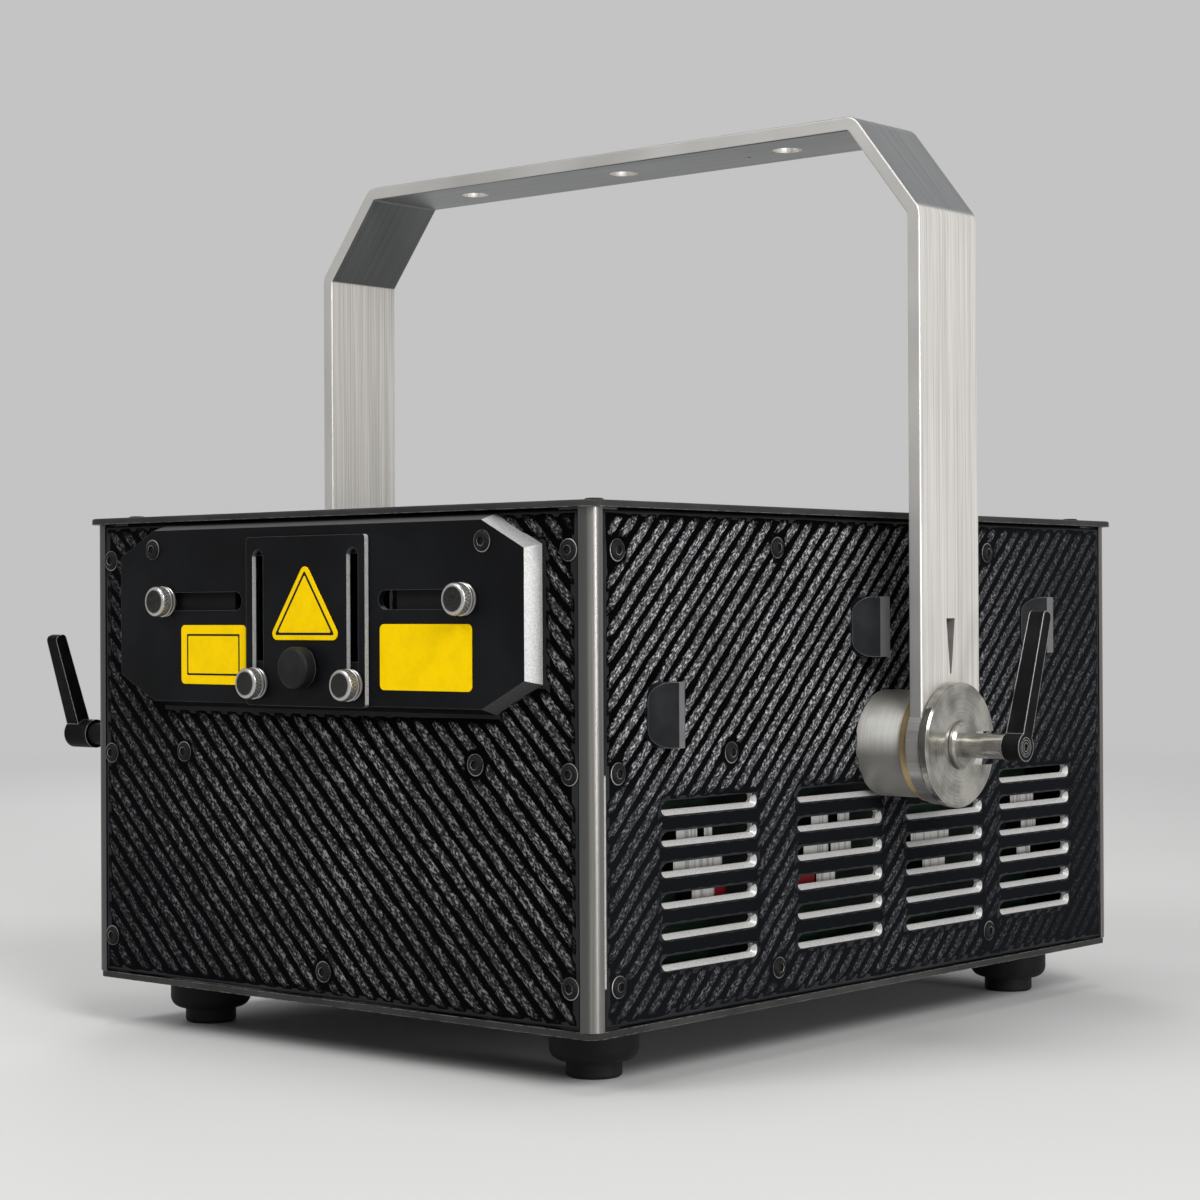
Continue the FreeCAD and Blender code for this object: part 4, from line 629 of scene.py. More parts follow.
@dataclass(frozen=True)
class Board(Finish):
    """Green board with traces; white and red plugs stand on its outer face, dark parts on its inner one."""

    face: float = 121.2 * MM
    back: float = 119.2 * MM
    soft: float = 0.1 * MM
    row_soft: float = 0.2 * MM
    trace_pitch: float = 3 * MM
    rib_pitch: float = 1.6 * MM
    grain: float = 0.8 * MM
    relief: float = 0.03 * MM
    red_rows: tuple = ((-0.0975, -0.0895), (-0.0425, -0.0292))
    red_top: float = 0.0725
    green: Colour = (0.003, 0.012, 0.006)
    trace: Colour = (0.006, 0.022, 0.011)
    white: Colour = (0.92, 0.91, 0.88)
    rib: Colour = (0.6, 0.59, 0.57)
    red: Colour = (0.26, 0.008, 0.012)
    plug_side_shade: Colour = (0.012, 0.012, 0.013)
    part: Colour = (0.02, 0.021, 0.024)

    def paint(self, shader: Shader) -> None:
        """Colour by which side of the board a point is on.

        Args:
            shader: the material.
        """
        x, y, z = shader.split(shader.place)
        traces = shader.noise(self.trace_pitch, (1, 6, 0.6), detail=1).rise(0.52, 0.56)
        ribs = shader.noise(self.rib_pitch, (30, 1, 30), detail=0).rise(0.5, 0.66)
        first, second = (y.within(low, high, self.row_soft) for low, high in self.red_rows)
        reds = (first + second) * (1 - z.rise(self.red_top, self.red_top + MM))
        plug = shader.mix(reds, shader.mix(ribs, self.white, self.rib), self.red)
        # Painted shade: the plugs' sides, away from the vents, are painted near black.
        plug = shader.mix(shader.split(shader.facing)[0].rise(0.4, 0.8), self.plug_side_shade, plug)
        colour = shader.mix(x.rise(self.face, self.face + self.soft),
                            shader.mix(traces, self.green, self.trace), plug)
        inside = 1 - x.rise(self.back - self.soft, self.back)
        grain = shader.noise(self.grain)
        shader.finish(base_color=shader.mix(inside, colour, self.part), specular=0.25,
                      roughness=uneven(0.45, (grain, 0.2)), normal=shader.bump(grain, self.relief, 0.4))


@dataclass(frozen=True)
class Optic(Finish):
    """Mirror glass on its backing, with a faint coating tint that changes slowly."""

    tint: Colour = (0.86, 0.88, 0.9)
    cool: Colour = (0.72, 0.78, 0.92)
    dust: float = 2 * MM
    patch: float = 9 * MM

    def paint(self, shader: Shader) -> None:
        """Nearly perfect mirror with dust in its gloss.

        Args:
            shader: the material.
        """
        dust = shader.noise(self.dust, detail=4, roughness=0.7)
        hue = shader.noise(self.patch, detail=1)
        shader.finish(base_color=shader.mix(hue, self.tint, self.cool), metallic=1.0,
                      roughness=dust.rise(0.45, 0.9) * 0.12 + 0.03)


@dataclass(frozen=True)
class Glass(Finish):
    """Clear window glass with a trace of dust."""

    tint: Colour = (0.93, 0.97, 0.95)
    dust: float = 3 * MM

    def paint(self, shader: Shader) -> None:
        """Clear, with dust only in the gloss."""
        dust = shader.noise(self.dust, detail=4, roughness=0.7)
        shader.finish(base_color=self.tint, roughness=dust.rise(0.5, 0.9) * 0.1 + 0.01,
                      transmission_weight=1.0, ior=1.5)


# The yoke and the posts get painted shade, a darker tint, on their level and end faces.
YOKE_STEEL = BrushedMetal("yoke_brushed_steel", (0.85, 0.82, 0.775), 0.36, pitch=0.5 * MM, metal=0.65,
                          facing_shade_tint=(0.165, 0.175, 0.185))
POST_METAL = BrushedMetal("post_brushed_metal", (0.24, 0.232, 0.22), 0.36, (1, 1, 300), 0.3 * MM,
                          facing_shade_tint=(0.055, 0.057, 0.06), end_face_shade=0.75)
BENCH = BrushedMetal("bench_brushed_aluminium", (0.56, 0.56, 0.565), 0.38, (1, 60, 60), 0.4 * MM)
MOTOR = BrushedMetal("motor_bright_steel", (0.5, 0.49, 0.47), 0.3, (1, 1, 40))
SUPPLY = BrushedMetal("supply_sheet_metal", (0.5, 0.5, 0.5), 0.42, (40, 1, 40), 0.6 * MM)
CHROME = BrushedMetal("lock_bright_chrome", (0.66, 0.66, 0.66), 0.14, (1, 1, 1), 0.3 * MM, contrast=0.12)
PIVOT_STEEL = TurnedMetal("pivot_turned_steel", (0.44, 0.425, 0.385), 0.17, metal=0.75, smudge=0.42,
                          ring_share=0.3)
# The boss's near-white tint and its painted highlight band stand in for a bright highlight.
BOSS_STEEL = TurnedMetal("boss_satin_steel", (0.98, 0.94, 0.85), 0.36, metal=0.15, painted_highlight=0.92)
BRONZE = TurnedMetal("friction_bronze", (0.62, 0.47, 0.24), 0.3, metal=0.7)
PLATE_COAT = Coat("aperture_satin_black", (0.0029, 0.0032, 0.0039), 0.4, 0.3 * MM, 0.02 * MM,
                  bare=Bare.OUTER_WALLS, bare_tint=(0.58, 0.58, 0.575))
SHUTTER_COAT = Coat("shutter_satin_black", (0.0032, 0.0035, 0.0042), 0.38, 0.3 * MM, 0.02 * MM,
                    bare=Bare.WALLS)
PANEL_COAT = Coat("side_panel_black", bare=Bare.SIDE_LIPS)
REAR_COAT = Coat("rear_panel_black", bare=Bare.REAR_LIPS)
FRONT_COAT = Coat("front_panel_black")
LID_COAT = Coat("lid_dark_edge", (0.028, 0.0275, 0.027), 0.42, 0.4 * MM, 0.03 * MM,
                bare=Bare.RIM, bare_tint=(0.4, 0.385, 0.36))
INNER_COAT = Coat("inner_matt_black", (0.006, 0.006, 0.0066), 0.6, 0.4 * MM)
MODULE = Coat("module_satin_black", (0.02, 0.02, 0.022), 0.45, 0.4 * MM)
RUBBER = Moulded("foot_rubber", (0.009, 0.0093, 0.01), 0.62, 0.7 * MM, 0.06 * MM)
# The bumper's pale outer faces are painted light; the pale edges of the bumper, lever and knob are partly
# painted highlight.
BUMPER = Moulded("bumper_black", (0.0095, 0.0105, 0.012), 0.36, 0.5 * MM, 0.02 * MM,
                 worn_and_lit=(0.24, 0.24, 0.235), worn_and_lit_metal=0.0, lit_face_tone=0.17, edge=0.5 * MM)
LEVER = Moulded("lever_satin_black", (0.0055, 0.0056, 0.0062), 0.42, 0.5 * MM, 0.03 * MM,
                worn_and_lit=(0.6, 0.59, 0.57), specular=0.03)
KNOB = Moulded("knob_satin_black", (0.009, 0.0092, 0.01), 0.42, 0.4 * MM, 0.03 * MM,
               worn_and_lit=(0.12, 0.12, 0.12), worn_and_lit_metal=0.0)
FAN = Moulded("fan_moulded_black", (0.012, 0.012, 0.013), 0.42)
INLET = Moulded("inlet_moulded_black", (0.011, 0.011, 0.012), 0.38)
ROCKER = Moulded("rocker_moulded_black", (0.014, 0.014, 0.015), 0.28, 0.4 * MM, 0.015 * MM)
SOCKET = Moulded("socket_moulded_black", (0.013, 0.013, 0.014), 0.34)
SCREW_BLACK = RubbedAndLit("screw_black_oxide", (0.36, 0.355, 0.34), (0.0075, 0.0077, 0.0082), 0.15)
THUMB = RubbedAndLit("thumb_knurled_steel")
SIGN_LINED = Plate("blank_plate_lined", line_from=2.0 * MM, line_to=3.0 * MM)
SIGN_FRAMED = Plate("blank_plate_framed", line_from=3.7 * MM, line_to=4.5 * MM)
SIGN_PLAIN = Plate("blank_plate_plain")
BOARD = Board("driver_board_green")
MIRROR = Optic("mirror_glass")
GLASS = Glass("window_clear_glass")


# Surfaces


def linked(name: str, data: bpy.types.ID) -> bpy.types.Object:
    """Put a mesh, lamp or camera into the scene.

    Args:
        name: the object's name.
        data: what it shows.

    Returns:
        The object.
    """
    made = bpy.data.objects.new(name, data)
    bpy.context.scene.collection.objects.link(made)
    return made


@dataclass
class Surface:
    """Points and faces of a shape, worked out as whole arrays, with numbers kept at its points."""

    points: np.ndarray
    faces: np.ndarray
    marks: dict[str, np.ndarray]

    @staticmethod
    def grid(points: np.ndarray, marks: dict[str, np.ndarray], closed: bool = False) -> "Surface":
        """A grid of points as four-sided faces.

        Args:
            points: rows by columns by three.
            marks: numbers at the same points.
            closed: whether the last column joins the first.

        Returns:
            The surface.
        """
        rows, columns = points.shape[:2]
        number = np.arange(rows * columns).reshape(rows, columns)
        if closed:
            number = np.concatenate([number, number[:, :1]], 1)
        faces = np.stack([number[:-1, :-1], number[:-1, 1:], number[1:, 1:], number[1:, :-1]], -1)
        kept = {name: value.ravel() for name, value in marks.items()}
        return Surface(points.reshape(-1, 3), faces.reshape(-1, 4), kept)

    @staticmethod
    def joined(parts: "list[Surface]") -> "Surface":
        """Several surfaces as one, with the faces of each numbered on from the one before.

        Args:
            parts: the surfaces, all with the same marks.

        Returns:
            The whole.
        """
        starts = np.cumsum([0] + [len(part.points) for part in parts[:-1]])
        return Surface(np.concatenate([part.points for part in parts]),
                       np.concatenate([part.faces + start for part, start in zip(parts, starts)]),
                       {name: np.concatenate([part.marks[name] for part in parts])
                        for name in parts[0].marks})

    def moved(self, matrix: np.ndarray, offset: np.ndarray) -> "Surface":
        """The surface turned by a matrix whose columns are its new axes, then shifted."""
        return Surface(self.points @ matrix.T + offset, self.faces, self.marks)

    def make(self, name: str, finish: Finish, body: str, slot: str, shell: bool = True,
             sharp: float = 35.0) -> bpy.types.Object:
        """Put the surface into a mesh that rides on a body.

        Args:
            name: the piece's name.
            finish: its finish.
            body: the body that it moves with.
            slot: the record's material slot; not used.
            shell: whether it is a closed shape, whose faces are turned outwards.
            sharp: the angle in degrees past which an edge stays sharp.

        Returns:
            The piece.
        """
        mesh = bpy.data.meshes.new(name)
        mesh.from_pydata(self.points.tolist(), [], self.faces.tolist())
        for mark, numbers in self.marks.items():
            mesh.attributes.new(mark, "FLOAT", "POINT").data.foreach_set("value", numbers.astype(np.float32))
        work = bmesh.new()
        work.from_mesh(mesh)
        bmesh.ops.remove_doubles(work, verts=work.verts, dist=MERGE)
        bmesh.ops.dissolve_degenerate(work, edges=work.edges, dist=MERGE / 10)
        if shell:
            bmesh.ops.recalc_face_normals(work, faces=work.faces)
        work.to_mesh(mesh)
        work.free()
        mesh.polygons.foreach_set("use_smooth", np.ones(len(mesh.polygons), bool))
        mesh.set_sharp_from_angle(angle=math.radians(sharp))
        mesh.materials.append(finish.material())
        piece = linked(name, mesh)
        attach(piece, body)
        LOG.info("%s: %d faces on %s", name, len(mesh.polygons), body)
        return piece


def lathe(radius: np.ndarray, height: np.ndarray, marks: dict[str, np.ndarray]) -> Surface:
    """A surface turned about Z: the point at angle a of row i is radius(i, a) out and height(i) up.

    Args:
        radius: rows by angles.
        height: one height for each row.
        marks: numbers on the same rows by angles.

    Returns:
        The closed surface.
    """
    angle = np.linspace(0, 2 * np.pi, radius.shape[1], endpoint=False)
    up = np.broadcast_to(height[:, None], radius.shape)
    return Surface.grid(np.stack([radius * np.cos(angle), radius * np.sin(angle), up], -1), marks, True)


def smooth_step(low: float, high: float, value: np.ndarray) -> np.ndarray:
    """Go from 0 at low to 1 at high with level ends."""
    share = np.clip((value - low) / (high - low), 0, 1)
    return share * share * (3 - 2 * share)


def islands(node: str) -> list[np.ndarray]:
    """The separate solids of a CAD node.

    Each point takes the lowest number among the points that it shares an edge with, until nothing changes.

    Args:
        node: the node's name.

    Returns:
        The points of each solid.
    """
    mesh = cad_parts[node].data
    points = np.empty(len(mesh.vertices) * 3, np.float32)
    mesh.vertices.foreach_get("co", points)
    spots, same = np.unique(np.round(points.reshape(-1, 3), 6), axis=0, return_inverse=True)
    edges = np.empty(len(mesh.edges) * 2, np.int32)
    mesh.edges.foreach_get("vertices", edges)
    ends = same.ravel()[edges].reshape(-1, 2)
    label = np.arange(len(spots))
    while True:
        low = label.copy()
        np.minimum.at(low, ends[:, 0], label[ends[:, 1]])
        np.minimum.at(low, ends[:, 1], label[ends[:, 0]])
        if np.array_equal(low, label):
            break
        label = low
    return [spots[label == number] for number in np.unique(label)]


# Sub-assemblies


class SubAssembly:
    """A group of CAD nodes with their finishes, and with pieces of its own where it has any."""

    def finishes(self) -> dict[Finish, list[str]]:
        """Each finish with the CAD nodes that wear it."""
        raise NotImplementedError

    def dress(self) -> None:
        """Give each CAD node of the group its one material."""
        for finish, nodes in self.finishes().items():
            for node in nodes:
                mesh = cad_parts[node].data
                mesh.materials.clear()
                mesh.materials.append(finish.material())
            LOG.info("%s on %s", finish.name, ", ".join(nodes))

    def build(self) -> None:
        """Build the group's own pieces; a group of CAD nodes alone has none."""


def both(*nodes: str) -> list[str]:
    """The right and left hand of each node."""
    return [f"{node}_{hand}" for node in nodes for hand in HANDS]


class Side(Enum):
    """A face of the housing: its outward direction and the direction to the right as it is looked at."""

    FRONT = ("front", (0, -1, 0), (1, 0, 0))
    RIGHT = ("right", (1, 0, 0), (0, 1, 0))
    LEFT = ("left", (-1, 0, 0), (0, -1, 0))
    REAR = ("rear", (0, 1, 0), (-1, 0, 0))

    def __init__(self, word: str, outward: tuple, across: tuple) -> None:
        """Keep the side's name, its two directions, and its axes as columns: across, up and outward."""
        self.word, self.outward, self.across = word, outward, across
        self.axes = np.array([across, (0, 0, 1), outward], float).T


# Painted light: the right cover's cords are painted brighter than the front's, as the side that faces the
# light, and each cover has its own painted fall-off into shade.
WEAVES = {Side.FRONT: Weave(crest=0.062, fleck=0.31, far_at=-0.13, far=0.45, high_at=0.1, low_at=0.04,
                            low=0.75),
          Side.RIGHT: Weave(45.0, 6.6 * MM, crest=0.125, fleck=0.54, axis=1, near_at=-0.03, far_at=0.16,
                            far=0.2, high_at=0.135, low_at=0.09, low=0.28, shade_tone=0.009),
          Side.LEFT: Weave(), Side.REAR: Weave()}


@dataclass
class CordedCover:
    """The corded cover of one panel, in tiles that leave out its openings.

    In the panel's own plane, u runs to the right and v up. A cord runs at an angle to u, and s is the
    distance across the cords. A tile is a rectangle cut into lines of equal s, so every cord is smooth.
    """

    side: Side
    holes: list[Rect]
    height: float = 0.75 * MM
    width_share: float = 0.66
    border: float = 0.9 * MM
    step: float = 0.7 * MM
    stride: float = 5 * MM
    fibre_length: float = 2.2
    sways: tuple = ((0.22 * MM, 9 * MM, 2.4), (0.15 * MM, 3.7 * MM, 5.1))
    edge_fade: tuple = (0.3 * MM, 5 * MM)
    screw_fade: tuple = (5 * MM, 8 * MM)
    screw_near: float = 2 * MM
    least_shade: float = 0.12
    web_height: float = 8 * MM
    web_fade: float = 0.4
    web_shade: float = 0.05
    lip_width: float = 0.6 * MM
    lip_height: float = 0.22 * MM
    sunk: float = 0.1 * MM
    weave: Weave = field(init=False)
    plane: float = field(init=False)
    outer: Rect = field(init=False)
    screws: list = field(init=False)

    def __post_init__(self) -> None:
        """Read the panel's rectangle, its plane and the screws on it from the frame."""
        self.weave = WEAVES[self.side]
        low, high = (np.array(corner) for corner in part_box(self.side.word + "_panel"))
        axes = self.side.axes
        ends = np.stack([low @ axes, high @ axes])
        (u0, v0, _), (u1, v1, self.plane) = ends.min(0), ends.max(0)
        self.outer = (u0 + self.border, u1 - self.border, v0 + self.border, v1 - self.border)
        spots = [(points.min(0) + points.max(0)) / 2 @ axes for points in islands("panel_screws")]
        self.screws = [spot[:2] for spot in spots if abs(spot[2] - self.plane) < self.screw_near]

    def tiles(self) -> list[Rect]:
        """Rectangles that cover the panel around its openings, as columns of free height.

        Returns:
            Each tile's u and v limits.
        """
        u0, u1, v0, v1 = self.outer
        cuts = sorted({u0, u1} | {u for hole in self.holes for u in hole[:2] if u0 < u < u1})
        columns: list[tuple[float, float, list]] = []
        for left, right in zip(cuts, cuts[1:]):
            middle = (left + right) / 2
            level = v0
            free = []
            here = [hole[2:] for hole in self.holes if hole[0] < middle < hole[1]]
            for low, high in sorted(here):
                if low > level:
                    free.append((level, low))
                level = max(level, high)
            if level < v1:
                free.append((level, v1))
            if columns and columns[-1][2] == free:
                left = columns.pop()[0]
            columns.append((left, right, free))
        return [(left, right, low, high) for left, right, free in columns for low, high in free]

    def clearance(self, u: np.ndarray, v: np.ndarray) -> np.ndarray:
        """How far points are from the panel's edge or the nearest opening.

        Args:
            u: the points' places to the right.
            v: the points' heights.

        Returns:
            The least of the distances, for each point.
        """
        u0, u1, v0, v1 = self.outer
        far = np.minimum(np.minimum(u - u0, u1 - u), np.minimum(v - v0, v1 - v))
        for left, right, low, high in self.holes:
            beside = np.maximum(np.maximum(left - u, u - right), 0)
            above = np.maximum(np.maximum(low - v, v - high), 0)
            far = np.minimum(far, np.hypot(beside, above))
        return far

    def tile(self, rect: Rect) -> Surface:
        """One tile: lines of equal s, cut to the rectangle, and raised into cords.

        The height is half an ellipse across each cord, with slow waves along it. It fades out at the
        panel's edge, round its openings and under its screws, and is low on narrow webs.

        Args:
            rect: the tile's u and v limits.

        Returns:
            The tile's surface.
        """
        u0, u1, v0, v1 = rect
        turn = math.radians(self.weave.angle)
        c, d = math.cos(turn), math.sin(turn)
        corners = np.array([v * c - u * d for u in (u0, u1) for v in (v0, v1)])
        count = max(3, int(np.ptp(corners) / self.step))
        s = np.union1d(np.linspace(corners.min(), corners.max(), count), corners)
        by_u = np.stack([(u0 + s * d) / c, (u1 + s * d) / c])
        by_v = np.stack([(v0 - s * c) / d, (v1 - s * c) / d])
        start = np.maximum(by_u.min(0), by_v.min(0))
        end = np.maximum(np.minimum(by_u.max(0), by_v.max(0)), start)
        rows = max(4, int((end - start).max() / self.stride))
        t = start + np.linspace(0, 1, rows)[:, None] * (end - start)
        u = t * c - s * d
        v = t * d + s * c
        pitch = self.weave.pitch
        cord = np.floor(s / pitch)
        sway = sum(reach * np.sin(t / length + shift * cord) for reach, length, shift in self.sways)
        across = np.abs(2 * ((s + sway) / pitch % 1) - 1) / self.width_share
        swell = np.sqrt(np.clip(1 - across ** 2, 0, 1))
        far = self.clearance(u, v)
        fade = smooth_step(*self.edge_fade, far)
        web = v1 - v0 < self.web_height
        if web:
            fade = fade * self.web_fade
        for screw_u, screw_v in self.screws:
            fade = fade * smooth_step(*self.screw_fade, np.hypot(u - screw_u, v - screw_v))
        lift = self.lip_height * smooth_step(0, self.lip_width, far) - self.sunk
        raised = self.plane + lift + self.height * swell * fade
        # The cord mark: 1 on the crests and 0 in the grooves, where the dark gap colour is partly painted
        # shade; lower near edges, openings and screws.
        shade = swell * (self.web_shade if web else self.least_shade + (1 - self.least_shade) * fade)
        return Surface.grid(np.stack([u, v, raised], -1), {"cord": shade})

    def build(self) -> None:
        """Join the tiles into the cover, facing outwards, with the fibres drawn out along the cords."""
        side = self.side
        cover = Surface.joined([self.tile(rect) for rect in self.tiles()]).moved(side.axes, np.zeros(3))
        edge = cover.points[cover.faces[:, 1:3]] - cover.points[cover.faces[:, :1]]
        if np.cross(edge[:, 0], edge[:, 1]).sum(0) @ side.axes[:, 2] < 0:
            cover.faces = cover.faces[:, ::-1]
        turn = tuple(self.weave.angle * part for part in side.outward)
        stretch = tuple(self.fibre_length if part else 1 for part in side.across)
        finish = Cords("corded_cover_" + side.word, self.weave, turn, stretch)
        cover.make("cover_" + side.word, finish, "housing", "panel_black", False, 80)


@dataclass
class Housing(SubAssembly):
    """Base, lid, posts, covered panels and their screws."""

    vent_length: float = 60 * MM
    vent_height: float = 5.7 * MM
    vent_pitch: float = 11.85 * MM
    vent_rows: int = 6
    side_columns: tuple = (-117.95 * MM, -30.61 * MM, 47.64 * MM, 122.24 * MM)
    side_vent_low: float = 42.4 * MM
    rear_columns: tuple = (-46 * MM, 46 * MM)
    rear_vent_low: float = 129 * MM
    plate_cut: tuple = (23.5 * MM, 12 * MM)
    plate_rim: float = 1.2 * MM
    stop_spot: tuple = (0.150, 0.1243)
    stop_hole: float = 6 * MM
    fitting_gap: float = 0.8 * MM
    screw_points: int = 24
    socket_share: float = 1.1
    screw_turn: float = 0.7
    mid_height: float = 0.1

    def finishes(self) -> dict[Finish, list[str]]:
        """Black coats, brushed posts, rubber and black screws."""
        return {POST_METAL: both("corner_post_front", "corner_post_rear"), FRONT_COAT: ["front_panel"],
                PANEL_COAT: ["right_panel", "left_panel"], REAR_COAT: ["rear_panel"],
                LID_COAT: ["top_lid", "base_plate"], SCREW_BLACK: ["panel_screws"], RUBBER: ["rubber_feet"],
                BUMPER: both("side_bumpers")}

    def vents(self, columns: tuple, low: float) -> list[Rect]:
        """Rectangles of the milled slots.

        Args:
            columns: the middle of each column.
            low: the lower edge of the first row.

        Returns:
            One rectangle for each slot.
        """
        half = self.vent_length / 2
        feet = [low + row * self.vent_pitch for row in range(self.vent_rows)]
        return [(middle - half, middle + half, foot, foot + self.vent_height)
                for middle in columns for foot in feet]

    def around(self, node: str, side: Side) -> list[Rect]:
        """Rectangles round the solids of a node that stands on a side, a small gap away.

        Args:
            node: the node's name.
            side: the side that it stands on.

        Returns:
            One rectangle for each solid.
        """
        found = []
        for points in islands(node):
            spots = points @ side.axes
            (u0, v0, _), (u1, v1, _) = spots.min(0) - self.fitting_gap, spots.max(0) + self.fitting_gap
            found.append((u0, u1, v0, v1))
        return found

    def build_covers(self) -> None:
        """Cover the four panels, clear of vents, fittings, the beam stop's shaft and the aperture."""
        low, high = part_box("aperture_plate")
        rim = self.plate_rim
        cut_x, cut_z = self.plate_cut
        front = [(low.x + cut_x - rim, high.x - cut_x + rim, low.z - rim, high.z + rim),
                 (low.x - rim, high.x + rim, low.z + cut_z - rim, high.z - cut_z + rim)]
        right = self.vents(self.side_columns, self.side_vent_low)
        left = self.vents(tuple(-middle for middle in self.side_columns), self.side_vent_low)
        (u, v), hole = self.stop_spot, self.stop_hole
        left.append((u - hole, u + hole, v - hole, v + hole))
        rear = self.vents(self.rear_columns, self.rear_vent_low)
        for node in ("power_inlet", "key_switch", "signal_sockets"):
            rear += self.around(node, Side.REAR)
        for side, holes in zip(Side, (front, right, left, rear)):
            CordedCover(side, holes).build()

    def screw(self) -> Surface:
        """A button head with a washer rim and a six-sided socket, about Z, standing on Z = 0.

        Rows run from the rim's foot over the dome and down into the socket. The socket's rows take the
        radius of a hexagon at each angle: its flat's distance over the cosine from the flat's middle.

        Returns:
            The head, marked bright along its rim and the socket's edge, partly as wear and partly as painted
            highlight.
        """
        radius = np.array([4.4, 4.4, 4.15, 3.85, 3.75, 3.45, 2.9, 2.3, 1.75, 1.6, 1.5, 0.0]) * MM
        height = np.array([-0.1, 0.3, 0.45, 0.45, 0.75, 1.05, 1.24, 1.3, 1.3, 1.15, 0.5, 0.45]) * MM
        sixth = np.array([0, 0, 0, 0, 0, 0, 0, 0, 1, 1, 1, 0])[:, None]
        bright = np.array([0, 0.35, 1, 0.3, 0, 0, 0, 0.1, 0.75, 0.1, 0, 0])[:, None]
        angle = np.linspace(0, 2 * np.pi, self.screw_points, endpoint=False)
        hexagon = np.cos(np.pi / 6) / np.cos((angle % (np.pi / 3)) - np.pi / 6) * self.socket_share
        # Painted light: the bright mark is stronger on one side of each head.
        shade = bright * (0.75 + 0.25 * np.sin(angle))
        return lathe(radius[:, None] * (1 + sixth * (hexagon - 1)), height, {"bright": shade})

    def build_screws(self) -> None:
        """One button head for each CAD screw, turned differently, in place of the plain ones."""
        head = self.screw()
        heads = []
        for number, points in enumerate(islands("panel_screws")):
            low, high = points.min(0), points.max(0)
            thin = int(np.argmin(high - low))
            seat = (low + high) / 2
            outward = np.zeros(3)
            outward[thin] = 1 if seat[thin] > (self.mid_height if thin == 2 else 0) else -1
            seat[thin] = low[thin] if outward[thin] > 0 else high[thin]
            turn = Matrix.Rotation(self.screw_turn * number, 3, Vector(outward))
            aside = np.array(turn @ Vector(np.roll(np.abs(outward), 1)))
            heads.append(head.moved(np.stack([aside, np.cross(outward, aside), outward], 1), seat))
        piece = Surface.joined(heads).make("button_screws", SCREW_BLACK, "housing", "screw_black")
        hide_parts("panel_screws")

    def build(self) -> None:
        """Build the housing's own pieces."""
        self.build_covers()
        self.build_screws()


@dataclass(frozen=True)
class Blank:
    """A blank plate: corners in x and height over the base, radius and face rows in mm, and its seat."""

    name: str
    corners: tuple
    radius: float
    rows: tuple
    finish: Plate
    node: str
    body: str


BLANKS = (Blank("blank_triangle", ((-20.6, 147.6), (21.6, 147.6), (0.7, 179.2)), 2.6, (2.0, 3.0, 4.5),
                SIGN_LINED, "shutter_plate", "shutter"),
          Blank("blank_plate_left", ((-77.0, 129.0), (-36.9, 129.0), (-36.9, 153.6), (-77.0, 153.6)), 2.1,
                (3.7, 4.5, 7.0), SIGN_FRAMED, "aperture_plate", "housing"),
          Blank("blank_plate_right", ((40.8, 128.2), (90.0, 128.2), (90.0, 154.0), (40.8, 154.0)), 2.1,
                (2.0, 6.0), SIGN_PLAIN, "aperture_plate", "housing"))


